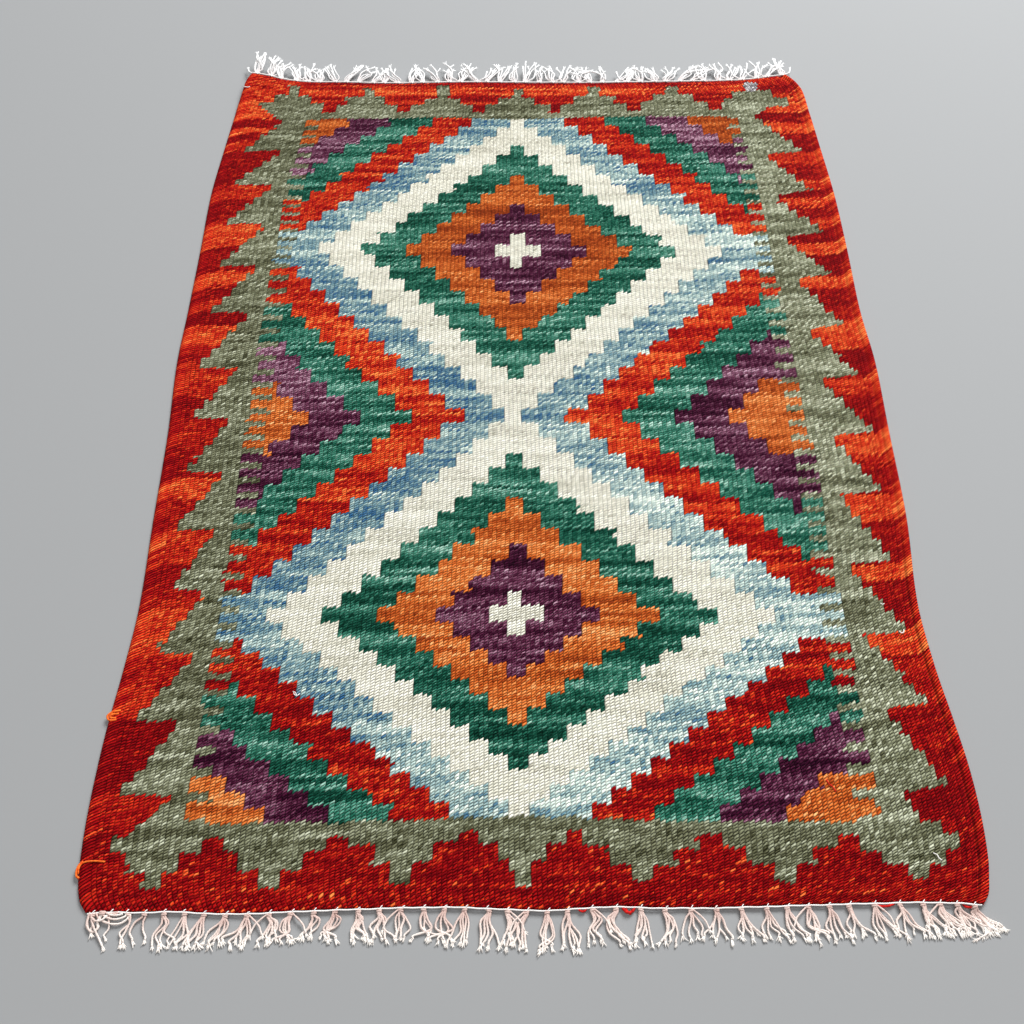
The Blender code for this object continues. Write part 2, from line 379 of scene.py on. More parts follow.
def design(x, y):
    """The yarn at each place of the true grid."""
    middle = lerp(MIDDLE, y)
    row = np.interp(-y, [-r[1] for r in STEP_ROWS], [r[0] for r in STEP_ROWS])
    whole = np.floor(row).astype(int)
    rows_off = np.minimum(abs(whole - DIAMOND_ROWS[0]), abs(whole - DIAMOND_ROWS[1]))
    steps_off = abs(x - middle) / STEP
    reach = steps_off + rows_off
    outermost = (abs(whole - 26) <= 2) | (whole <= 2) | (whole >= 50)
    band = np.where(outermost, ORANGE, PURPLE)
    for limit, yarn in reversed(BANDS):
        band = np.where(reach < limit, yarn, band)
    band = np.where((whole == 26) & (band == BLUE) & (reach > 16.05), RED, band)
    band = np.where((rows_off <= 1) & (x > middle) & (band == RED) & (reach < 17.7), BLUE, band)
    cross = ((rows_off == 0) & (steps_off < 1.5)) | (
        (rows_off <= 1) & (steps_off < 0.45)
    )
    band = np.where(cross, IVORY, band)
    inside = (y < 372) & (y > -372)
    field = inside & (x > lerp(COMB, y, 2)) & (x < lerp(COMB, y, 4))
    out = np.where(field, band, RED)
    for edge, column in ((1, 0), (3, 2)):
        tooth, yarn = teeth(y, column)
        across = (x - lerp(COMB, y, edge)) * (1 if column == 0 else -1)
        comb = inside & tooth & ~field & (across > 0) & (across < 40)
        out = np.where(comb, yarn, out)
        field = field | comb

    side = ~field & (y > -356)
    olive = side & (x < 0) & (y < 372) & ((x > -242) | spikes(-x, y, LEFT_SPIKES, 372.0, 246.0))
    olive |= side & (x > 0) & (y < 378) & ((x < 236) | spikes(x, y, RIGHT_SPIKES, 378.0, 238.0))
    foot = ~field & (y <= -352) & (y > -382)
    olive |= foot & (x < 0) & (x > -246 + (y + 352) * 0.95)
    olive |= foot & (x > 0) & (x < 250 - (y + 352) * 0.5)
    head = ~field & (y >= 370) & (y < 396)
    olive |= head & (x > -250 - (y - 370)) & (x < -200) & ~((x > -208) & (y > 381))
    olive |= (
        head
        & (x < 238 + np.floor((y - 370) / 5.5) * 9.5)
        & (x > 196)
        & ~((x < 211) & (y > 384))
    )
    olive |= (y >= 372) & (y < 381.5) & (x > -238) & (x < 240)
    for a, b, base, c, d, mid, e, f, tip in TOP_PYRAMIDS:
        low = 388 if a < -260 or b > 270 else 372
        olive |= (x >= a) & (x <= b) & (y >= low) & (y < base)
        olive |= (x >= c) & (x <= d) & (y >= low) & (y < mid)
        olive |= (x >= e) & (x <= f) & (y >= low) & (y < tip)
    olive |= (y <= -372) & (y > -380) & (abs(x) < 252)
    for a, b, base, c, d, mid, e, f, tip in BOTTOM_PYRAMIDS:
        olive |= (x >= a) & (x <= b) & (y <= -372 - 9 * (abs(x) > 255)) & (y > base)
        olive |= (x >= c) & (x <= d) & (y <= -372) & (y > mid)
        olive |= (x >= e) & (x <= f) & (y <= -372) & (y > tip)
    out = np.where(olive, OLIVE, out)
    e, f, tip = TOP_PYRAMIDS[-1][6:]
    return np.where((x >= e) & (x <= f) & (y >= 414) & (y < tip), SILVER, out)


# Each yarn's shades, from its darkest fibres to its lightest, as 0 to 255, and how strongly its streaks and its single
# picks show.
YARNS = (
    # name, darkest, dark, light, lightest, streaks, picks
    ("red", (100, 0, 6), (160, 10, 14), (212, 56, 24), (246, 134, 66), 0.27, 0.16),
    ("olive", (44, 44, 24), (88, 88, 64), (132, 134, 107), (196, 198, 172), 0.18, 0.23),
    ("green", (0, 38, 26), (20, 80, 62), (66, 132, 110), (172, 208, 190), 0.30, 0.16),
    ("ivory", (136, 132, 114), (208, 203, 184), (236, 232, 216), (252, 250, 240), 0.12, 0.15),
    ("blue", (32, 80, 124), (96, 131, 141), (168, 189, 182), (236, 243, 230), 0.27, 0.26),
    ("orange", (118, 40, 12), (176, 76, 26), (220, 120, 54), (246, 182, 120), 0.26, 0.17),
    ("purple", (30, 0, 18), (64, 14, 40), (110, 58, 82), (192, 152, 168), 0.32, 0.17),
    ("silver", (84, 78, 80), (142, 136, 136), (192, 186, 186), (240, 236, 234), 0.10, 0.36),
)

# ---------------------------------------------------------------- materials


def linear(rgb):
    """0 to 255 as shown on a screen, as linear light."""
    return tuple(
        (c / 255 / 12.92 if c <= 10 else ((c / 255 + 0.055) / 1.055) ** 2.4)
        for c in rgb
    )


class Nodes:
    """A material's nodes, made and linked in short calls."""

    def __init__(self, name):
        self.material = bpy.data.materials.new(name)
        self.material.use_nodes = True
        self.tree = self.material.node_tree
        self.shader = self.tree.nodes["Principled BSDF"]

    def add(self, kind, inputs=(), **settings):
        node = self.tree.nodes.new("ShaderNode" + kind)
        for key, value in settings.items():
            setattr(node, key, value)
        for key, value in dict(inputs).items():
            socket = node.inputs[key]
            if isinstance(value, bpy.types.NodeSocket):
                self.tree.links.new(value, socket)
            else:
                socket.default_value = value
        return node

    def math(self, operation, a, b=0.0, clamp=False):
        return self.add("Math", {0: a, 1: b}, operation=operation, use_clamp=clamp).outputs[0]

    def ramp(self, factor, stops):
        node = self.add("ValToRGB", {"Fac": factor})
        elements = node.color_ramp.elements
        while len(elements) < len(stops):
            elements.new(0.5)
        for element, (at, colour) in zip(elements, stops):
            element.position = at
            element.color = (*colour, 1.0)
        return node.outputs["Color"]

    def mix(self, factor, a, b, blend="MIX"):
        node = self.add("Mix", data_type="RGBA", blend_type=blend, clamp_factor=True)
        for index, value in ((0, factor), (6, a), (7, b)):
            if isinstance(value, bpy.types.NodeSocket):
                self.tree.links.new(value, node.inputs[index])
            else:
                node.inputs[index].default_value = value if index == 0 else (*value, 1.0)
        return node.outputs[2]

    def to_shader(self, **inputs):
        for key, value in inputs.items():
            socket = self.shader.inputs[key.replace("_", " ")]
            if isinstance(value, bpy.types.NodeSocket):
                self.tree.links.new(value, socket)
            else:
                socket.default_value = value
        return self.material


def wool_material():
    n = Nodes("wool_weave")
    yarn = n.add("Attribute", attribute_name="yarn").outputs["Fac"]
    tone = n.add("Attribute", attribute_name="tone").outputs["Fac"]
    # Painted shade along the slits and in the groove beside the right selvedge.
    crease_shade = n.add("Attribute", attribute_name="crease_shade").outputs["Fac"]
    bead = n.add("SeparateXYZ", {0: n.add("Attribute", attribute_name="bead").outputs["Vector"]})
    place = n.add("TexCoord").outputs["Object"]

    # Each bead is a short slanted yarn. side: -1 to 1 along it. over: 0 on its crest line, 1 where it meets the next.
    side = n.math("ABSOLUTE", bead.outputs[0])
    over = n.math("ABSOLUTE", n.add("Math", {0: bead.outputs[1], 1: 1.0, 2: -1.0}, operation="WRAP").outputs[0])
    round_ = n.math("SUBTRACT", 1.0, n.math("POWER", over, 2.0))
    height = n.math("MULTIPLY", round_, n.math("SUBTRACT", 1.0, n.math("POWER", side, 3.0)))
    lit = n.math("MULTIPLY", round_, n.math("SUBTRACT", 1.0, n.math("MULTIPLY", n.math("POWER", side, 4.0), 0.6)))
    # Some yarns lie deeper than others, and more shade is painted round their beads.
    sunk_shade = n.math("MULTIPLY", bead.outputs[2], n.math("SUBTRACT", 1.0, lit))
    # Fibres run along the beads, which rise to the right.
    def fibres(length, width, detail):
        turned = n.add(
            "Mapping",
            {"Vector": place, "Rotation": (0.0, 0.0, math.radians(33.0)), "Scale": (length * MM, width * MM, 1.0 * MM)},
            vector_type="TEXTURE",
        ).outputs[0]
        return n.add("TexNoise", {"Vector": turned, "Scale": 1.0, "Detail": detail, "Roughness": 0.6}).outputs["Fac"]

    fibre, hairs = fibres(3.4, 0.46, 2.0), fibres(3.0, 0.30, 1.0)
    coarse = n.add("TexNoise", {"Vector": place, "Scale": 240.0, "Detail": 2.0, "Roughness": 0.5}).outputs["Fac"]
    shade = n.math("ADD", tone, n.math("MULTIPLY", n.math("SUBTRACT", fibre, 0.5), 0.95))
    shade = n.math("ADD", shade, n.math("MULTIPLY", n.math("SUBTRACT", coarse, 0.5), 0.40))
    stray = n.add("MapRange", {"Value": hairs, "From Min": 0.60, "From Max": 0.72, "To Min": 0.0, "To Max": 0.42}).outputs[0]
    shade = n.math("ADD", shade, stray, clamp=True)

    colour = None
    for k, (_, darkest, dark, light, lightest, _, _) in enumerate(YARNS):
        dyed = n.ramp(
            shade,
            ((0.0, linear(darkest)), (0.33, linear(dark)), (0.67, linear(light)), (1.0, linear(lightest))),
        )
        if colour is None:
            colour = dyed
            continue
        this = n.add("Math", {0: yarn, 1: float(k), 2: 0.4}, operation="COMPARE").outputs[0]
        colour = n.mix(this, colour, dyed)
    # Painted light and shade: each bead's crest is painted lighter, and the hollows between beads and the slits darker,
    # where less light reaches.
    hollow_shade = n.add("MapRange", {"Value": lit, "From Min": 0.0, "From Max": 1.0, "To Min": 0.12, "To Max": 1.32}).outputs[0]
    hollow_shade = n.math("MAXIMUM", n.math("SUBTRACT", hollow_shade, n.math("MULTIPLY", sunk_shade, 0.45)), 0.05)
    slit_shade = n.add("MapRange", {"Value": crease_shade, "From Min": 0.35, "From Max": 1.0, "To Min": 1.0, "To Max": 0.45}).outputs[0]
    # Pale wool scatters light into its own hollows.
    pale = n.math("MULTIPLY", n.add("RGBToBW", {0: colour}).outputs[0], 0.40)
    hollow_shade = n.math("ADD", hollow_shade, n.math("MULTIPLY", n.math("SUBTRACT", 1.06, hollow_shade), pale))
    # Here and there the wool is felted, and its beads run together, with less shade painted between them.
    felt = n.add("TexNoise", {"Vector": place, "Scale": 110.0, "Detail": 3.0, "Roughness": 0.6}).outputs["Fac"]
    felt = n.add("MapRange", {"Value": felt, "From Min": 0.42, "From Max": 0.68, "To Min": 0.0, "To Max": 0.55}).outputs[0]
    hollow_shade = n.math("ADD", hollow_shade, n.math("MULTIPLY", n.math("SUBTRACT", 0.90, hollow_shade), felt))
    painted_shade = n.math("MULTIPLY", hollow_shade, slit_shade)
    grey = n.add("CombineColor", {0: painted_shade, 1: painted_shade, 2: painted_shade}).outputs[0]
    colour = n.mix(1.0, colour, grey, "MULTIPLY")

    relief = n.math("ADD", height, n.math("MULTIPLY", fibre, 0.30))
    bump = n.add("Bump", {"Height": relief, "Strength": 1.0, "Distance": 0.0008}).outputs[0]
    return n.to_shader(
        Base_Color=colour,
        Roughness=0.95,
        Specular_IOR_Level=0.06,
        Normal=bump,
    )


def cotton_material(name, root, body, tip):
    """Undyed cotton. root, body and tip: its colour by share of the strand's length. The darker root is painted shade,
    near the cord and the hitch.
    """
    n = Nodes(name)
    share = n.add("Attribute", attribute_name="share").outputs["Fac"]
    ply = n.add("Attribute", attribute_name="ply").outputs["Fac"]
    place = n.add("TexCoord").outputs["Object"]
    noise = n.add("TexNoise", {"Vector": place, "Scale": 700.0, "Detail": 3.0, "Roughness": 0.6}).outputs["Fac"]
    slow = n.add("TexNoise", {"Vector": place, "Scale": 60.0, "Detail": 2.0}).outputs["Fac"]
    along = n.math("ADD", share, n.math("MULTIPLY", n.math("SUBTRACT", slow, 0.5), 0.5), clamp=True)
    colour = n.ramp(along, ((0.0, linear(root)), (0.45, linear(body)), (1.0, linear(tip))))
    bright = n.add("MapRange", {"Value": noise, "From Min": 0.3, "From Max": 0.7, "To Min": 0.84, "To Max": 1.08}).outputs[0]
    # Painted shade in the groove between the two plies.
    groove_shade = n.add("MapRange", {"Value": ply, "From Min": 0.0, "From Max": 0.6, "To Min": 0.62, "To Max": 1.0}).outputs[0]
    both = n.math("MULTIPLY", bright, groove_shade)
    grey = n.add("CombineColor", {0: both, 1: both, 2: both}).outputs[0]
    colour = n.mix(1.0, colour, grey, "MULTIPLY")
    bump = n.add("Bump", {"Height": noise, "Strength": 0.35, "Distance": 0.0003}).outputs[0]
    return n.to_shader(
        Base_Color=colour,
        Roughness=0.9,
        Specular_IOR_Level=0.12,
        Sheen_Weight=0.1,
        Sheen_Roughness=0.5,
        Normal=bump,
    )


# ---------------------------------------------------------------- meshes


def mesh_object(name, verts, faces, material, point=(), face=(), corner=(), smooth=True):
    """An object from arrays of points in millimetres and of triangles. point, face and corner: attributes by name."""
    mesh = bpy.data.meshes.new(name)
    verts = (np.asarray(verts, float) - ORIGIN) * MM
    faces = np.asarray(faces, np.int32)
    mesh.vertices.add(len(verts))
    mesh.vertices.foreach_set("co", verts.astype(np.float32).ravel())
    mesh.loops.add(faces.size)
    mesh.loops.foreach_set("vertex_index", faces.ravel())
    mesh.polygons.add(len(faces))
    mesh.polygons.foreach_set("loop_start", np.arange(len(faces), dtype=np.int32) * 3)
    mesh.update(calc_edges=True)
    mesh.polygons.foreach_set("use_smooth", np.full(len(faces), smooth))
    for domain, group in (("POINT", dict(point)), ("FACE", dict(face)), ("CORNER", dict(corner))):
        for key, values in group.items():
            values = np.asarray(values, np.float32)
            kind = "FLOAT_VECTOR" if values.shape[-1] == 3 and values.ndim > 1 else "FLOAT"
            layer = mesh.attributes.new(key, kind, domain)
            layer.data.foreach_set("vector" if kind == "FLOAT_VECTOR" else "value", values.ravel())
    mesh.materials.append(material)
    mesh.validate()
    piece = bpy.data.objects.new(name, mesh)
    bpy.context.scene.collection.objects.link(piece)
    return piece


# ---------------------------------------------------------------- the woven body

CORD_INSETS = (0.0, 0.7, 1.9, 3.3, 4.8, 6.4, 7.6)  # columns over a selvedge
EDGE = 8.8  # the first rib starts this far in
HALF_RIB = (WIDTH - 2 * EDGE) / RIBS / 2
CREST, HOLLOW, RIB_EDGE = 0.26, -0.12, -0.26
SLIT = -0.32  # extra depth where two colours meet along a warp


def columns():
    """Insets from the left of a rug of nominal width, and each column's kind: -1 selvedge, 0 between ribs, 1 on a rib."""
    pitch = (WIDTH - 2 * EDGE) / RIBS
    ribs = EDGE + 0.5 * pitch * np.arange(2 * RIBS + 1)
    insets = np.concatenate([CORD_INSETS, ribs, WIDTH - np.array(CORD_INSETS)[::-1]])
    kinds = np.full(len(insets), -1)
    kinds[len(CORD_INSETS) : len(CORD_INSETS) + len(ribs)] = np.arange(len(ribs)) % 2
    return insets / WIDTH, kinds


def base_thickness(inwards, to_end, x, y):
    thick = np.where(x < 0, lerp(SELVEDGE_PROFILE, inwards, 1), lerp(SELVEDGE_PROFILE, inwards, 2))
    thick = thick + np.where(
        inwards > 10.0, 0.16 * np.sin(0.041 * x + 0.9) * np.sin(0.027 * y + 0.4), 0.0
    )
    return thick - (THICKNESS - END_THICKNESS) * np.clip(1.0 - to_end / 6.0, 0.0, 1.0)


def turns(across, row):
    """How far round its yarn a place on a selvedge is. Whole even numbers are crests, and it carries on the beads' slant."""
    inset = across * WIDTH
    start = np.where(inset < WIDTH / 2, EDGE, WIDTH - EDGE)
    return row + 1.0 - (inset - start) / HALF_RIB


def woven_grid():
    """The whole body's top: places and heights by row and column, and each bead's yarn and tone."""
    across, kinds = columns()
    first = len(CORD_INSETS)
    rows = np.arange(HALF_ROWS + 1)
    shape = (HALF_ROWS + 1, len(across))
    v = np.broadcast_to(rows[:, None] / HALF_ROWS, shape)
    u = np.broadcast_to(across[None, :], shape)
    x, y = plan(u, v)
    left, right = flowing(SELVEDGES, v, 1), flowing(SELVEDGES, v, 2)
    near, far = flowing(ENDS, u, 1), flowing(ENDS, u, 2)
    inwards = np.minimum(x - left, right - x)
    to_end = np.minimum(y - near, far - y)
    true_x, true_y = x.copy(), y.copy()
    fade = np.clip(inwards / 26.0, 0, 1) * np.clip(to_end / 40.0, 0, 1)
    loose = np.clip((inwards - 1.0) / 10.0, 0, 1) * np.clip(to_end / 5.0, 0, 1)
    x = x + fade * wander(true_x, true_y, 1) + loose * 0.30 * drift(true_x, true_y, 9.0, 34.0, 11)
    y = y + fade * wander(true_x, true_y, 6) + loose * 0.45 * drift(true_x, true_y, 30.0, 8.0, 12)

    # No two turns of the weft are beaten in quite alike.
    x = x + loose * 0.22 * picks(true_x, rows[:, None], 5.0, 14)
    y = y + loose * 0.26 * picks(true_x, rows[:, None], 7.0, 15)

    # Beads: one for each rib and each second half row, by turns.
    ribs = np.arange(RIBS)
    centres = first + 1 + 2 * ribs
    bead_x, bead_y = true_x[:, centres], true_y[:, centres]
    ragged_x = 0.9 * drift(bead_x, bead_y, 20.0, 9.0, 21)
    ragged_y = 0.8 * drift(bead_x, bead_y, 12.0, 16.0, 22)
    yarn = design(bead_x + ragged_x, bead_y + ragged_y)
    random = np.random.default_rng(5).normal(0.0, 1.0, yarn.shape)
    tone = shade(bead_x, bead_y, yarn, random)

    crest = (rows[:, None] + ribs[None, :]) % 2 == 0
    relief = np.zeros(shape)
    crease_shade = np.zeros(shape)
    thick = picks(bead_x, rows[:, None], 13.0, 24)
    relief[:, centres] = np.where(crest, CREST + 0.11 * thick, HOLLOW) + 0.05 * random
    # How deep each pick lies: the deeper, the more shade is painted round its beads.
    deep = np.clip(0.5 + 0.5 * picks(bead_x, rows[:, None], 10.0, 25) + 0.2 * random, 0.0, 1.0)
    between = first + 2 * np.arange(RIBS + 1)
    relief[:, between] = RIB_EDGE
    # A slit shows where two colours meet along a warp: a deeper valley in the mesh, with painted shade along it.
    apart = np.zeros((HALF_ROWS + 1, RIBS + 1), bool)
    apart[:, 1:-1] = yarn[:, 1:] != yarn[:, :-1]
    apart[1:-1] &= apart[2:] & apart[:-2]
    open_ = np.clip(0.7 + 0.5 * drift(true_x[:, between], true_y[:, between], 15.0, 11.0, 23), 0.2, 1.0)
    relief[:, between] += np.where(apart, SLIT * open_, 0.0)
    crease_shade[:, between] = np.where(apart, open_, 0.0)

    # The selvedges: the wefts turn round them. A groove lies beside the right one, with painted shade in it.
    selvedge = kinds == -1
    relief[:, selvedge] = 0.08 * np.cos(math.pi * turns(across[None, selvedge], rows[:, None]))
    groove_shade = np.clip(1.6 - abs(right - true_x - 7.0) / 1.2, 0, 1) * (0.70 + 0.30 * np.clip((-140.0 - true_y) / 60.0, 0, 1))
    crease_shade = np.maximum(crease_shade, groove_shade)
    low = curl(true_x, true_y)
    # The relief dies away where the end cords lie.
    ends = np.clip(to_end / 1.5, 0.25, 1.0)
    top = low + base_thickness(inwards, to_end, true_x, true_y) + relief * ends
    top += 0.10 * loose * drift(true_x, true_y, 18.0, 14.0, 13)
    low = low + 0.55 * np.clip(1 - inwards / 1.8, 0, 1)
    return dict(
        x=x, y=y, top=top, low=low, crease_shade=crease_shade, deep=deep, yarn=yarn, tone=tone, kinds=kinds, first=first,
        true_x=true_x, true_y=true_y, across=across,
    )


# The bands of the side borders, charted from the far end down, and how light each is.
DEEP, CRIMSON, SCARLET, TAWNY, ORANGE_RED = 0.10, 0.17, 0.31, 0.45, 0.61
LEFT_BANDS = (
    # from y, lightness
    (440, TAWNY),
    (405, ORANGE_RED),
    (372, CRIMSON),
    (360, ORANGE_RED),
    (348, CRIMSON),
    (335, TAWNY),
    (322, CRIMSON),
    (265, TAWNY),
    (246, CRIMSON),
    (225, SCARLET),
    (208, ORANGE_RED),
    (180, CRIMSON),
    (148, ORANGE_RED),
    (128, CRIMSON),
    (112, TAWNY),
    (100, DEEP),
    (82, ORANGE_RED),
    (60, SCARLET),
    (38, TAWNY),
    (0, CRIMSON),
    (-25, SCARLET),
    (-55, CRIMSON),
    (-85, ORANGE_RED),
    (-108, SCARLET),
    (-138, TAWNY),
    (-170, CRIMSON),
    (-192, SCARLET),
    (-210, ORANGE_RED),
    (-248, SCARLET),
    (-270, TAWNY),
    (-297, DEEP),
    (-352, SCARLET),
    (-378, DEEP),
)
RIGHT_BANDS = (
    # from y, lightness
    (440, SCARLET),
    (405, ORANGE_RED),
    (378, DEEP),
    (362, ORANGE_RED),
    (345, DEEP),
    (318, TAWNY),
    (296, CRIMSON),
    (275, TAWNY),
    (262, DEEP),
    (248, ORANGE_RED),
    (238, CRIMSON),
    (222, TAWNY),
    (208, DEEP),
    (188, ORANGE_RED),
    (172, DEEP),
    (145, ORANGE_RED),
    (128, CRIMSON),
    (105, SCARLET),
    (85, ORANGE_RED),
    (52, DEEP),
    (20, TAWNY),
    (0, CRIMSON),
    (-42, ORANGE_RED),
    (-65, SCARLET),
    (-80, CRIMSON),
    (-103, ORANGE_RED),
    (-130, CRIMSON),
    (-168, ORANGE_RED),
    (-184, CRIMSON),
    (-228, ORANGE_RED),
    (-250, SCARLET),
    (-290, CRIMSON),
    (-350, DEEP),
)


def charted(bands, y):
    """How light a side border is at this height."""
    k = np.searchsorted([-row[0] for row in bands], -y, side="right") - 1
    return np.array([row[1] for row in bands])[np.clip(k, 0, len(bands) - 1)]


def shade(x, y, yarn, random):
    """Each bead's place between its yarn's darkest and lightest: hand-dyed wool comes in streaks along the wefts."""
    rows = np.arange(HALF_ROWS + 1)[:, None]
    pairs = rows // 2
    out = np.full(x.shape, 0.5)
    for k, (_, _, _, _, _, streaks, single) in enumerate(YARNS):
        seed = 100 + 10 * k
        streak = (
            0.60 * picks(x, pairs, 52.0, seed)
            + 0.60 * drift(x, y, 120.0, 8.0, seed + 1)
            + 0.30 * drift(x, y, 60.0, 3.4, seed + 2)
        )
        value = 0.47 + streaks * np.tanh(1.6 * streak) + single * picks(x, rows, 15.0, seed + 3)
        out = np.where(yarn == k, value, out)
    # The border: bands of orange and of deep red, from a few turns of the weft to the next, darker at the near end.
    border = (yarn == RED) & (np.maximum(abs(x) - 236.0, abs(y) - 372.0) > 0)
    fine = picks(x, pairs, 110.0, 302)
    bands = 0.37 + 0.22 * np.tanh(2.8 * drift(x, y, 420.0, 8.0, 301)) + 0.22 * fine + 0.13 * picks(x, rows, 22.0, 304)
    dash = picks(x, rows, 9.0, 305) + 0.5 * picks(x, pairs, 70.0, 306)
    deep = 0.18 + 0.13 * fine + 0.16 * picks(x, rows, 18.0, 303) + 0.46 * np.clip((dash - 0.77) / 0.3, 0, 1)
    near = np.clip((-360.0 - y) / 20.0, 0, 1)
    ragged = y + 2.6 * picks(x, pairs, 60.0, 308)
    sides = np.where(x < 0, charted(LEFT_BANDS, ragged), charted(RIGHT_BANDS, ragged))
    sides = sides + 0.10 * fine + 0.09 * picks(x, rows, 22.0, 304) + 0.12 * np.clip((dash - 0.8) / 0.3, 0, 1)
    at_side = np.clip((abs(x) - 226.0) / 12.0, 0, 1)
    bands = bands * (1 - at_side) + sides * at_side
    bands = bands + 0.20 * np.clip((y - 360.0) / 18.0, 0, 1) * picks(x, pairs, 30.0, 307)
    out = np.where(border, bands * (1 - near) + deep * near, out)
    out = out + np.where((yarn == RED) & ~border, np.clip((y + 60) / 1100.0, -0.19, 0.05) - 0.10 * np.clip((y - 150) / 100, 0, 1), 0.0)
    # The olive down the right side is lighter, and so is the blue of the lower diamond's right side.
    out = out + np.where((yarn == OLIVE) & (x > 200), 0.10, 0.0)
    out = out + np.where(yarn == PURPLE, np.clip(y / 1600.0, -0.09, 0.06), 0.0)
    out = out + np.where(yarn == GREEN, np.clip((y + 60.0) / 2400.0, -0.09, 0.0) - 0.08 * np.clip((y - 60) / 100, 0, 1), 0.0)
    out = out + np.where(yarn == ORANGE, np.clip(-(y + 20.0) / 900.0, -0.20, 0.0), 0.0)
    out = out + np.where(yarn == BLUE, np.clip((x - y * 0.5 - 40) / 700.0, -0.11, 0.19) + 0.08 * np.clip((y - 200) / 100, 0, 1), 0.0)
    single = np.array((0.11, 0.11, 0.085, 0.055, 0.085, 0.07, 0.07, 0.06))[yarn]
    return np.clip(out + single * random, 0.02, 1.0)


def owners(row, rib, left_half):
    """The rows of the beads that own a cell's lower and upper faces. A bead rises to the right across its rib."""
    crest = (row + rib) % 2 == 0
    lower = np.where(crest, row, np.where(left_half, row + 1, row - 1))
    upper = np.where(~crest, row + 1, np.where(left_half, row + 2, row))
    return lower, upper


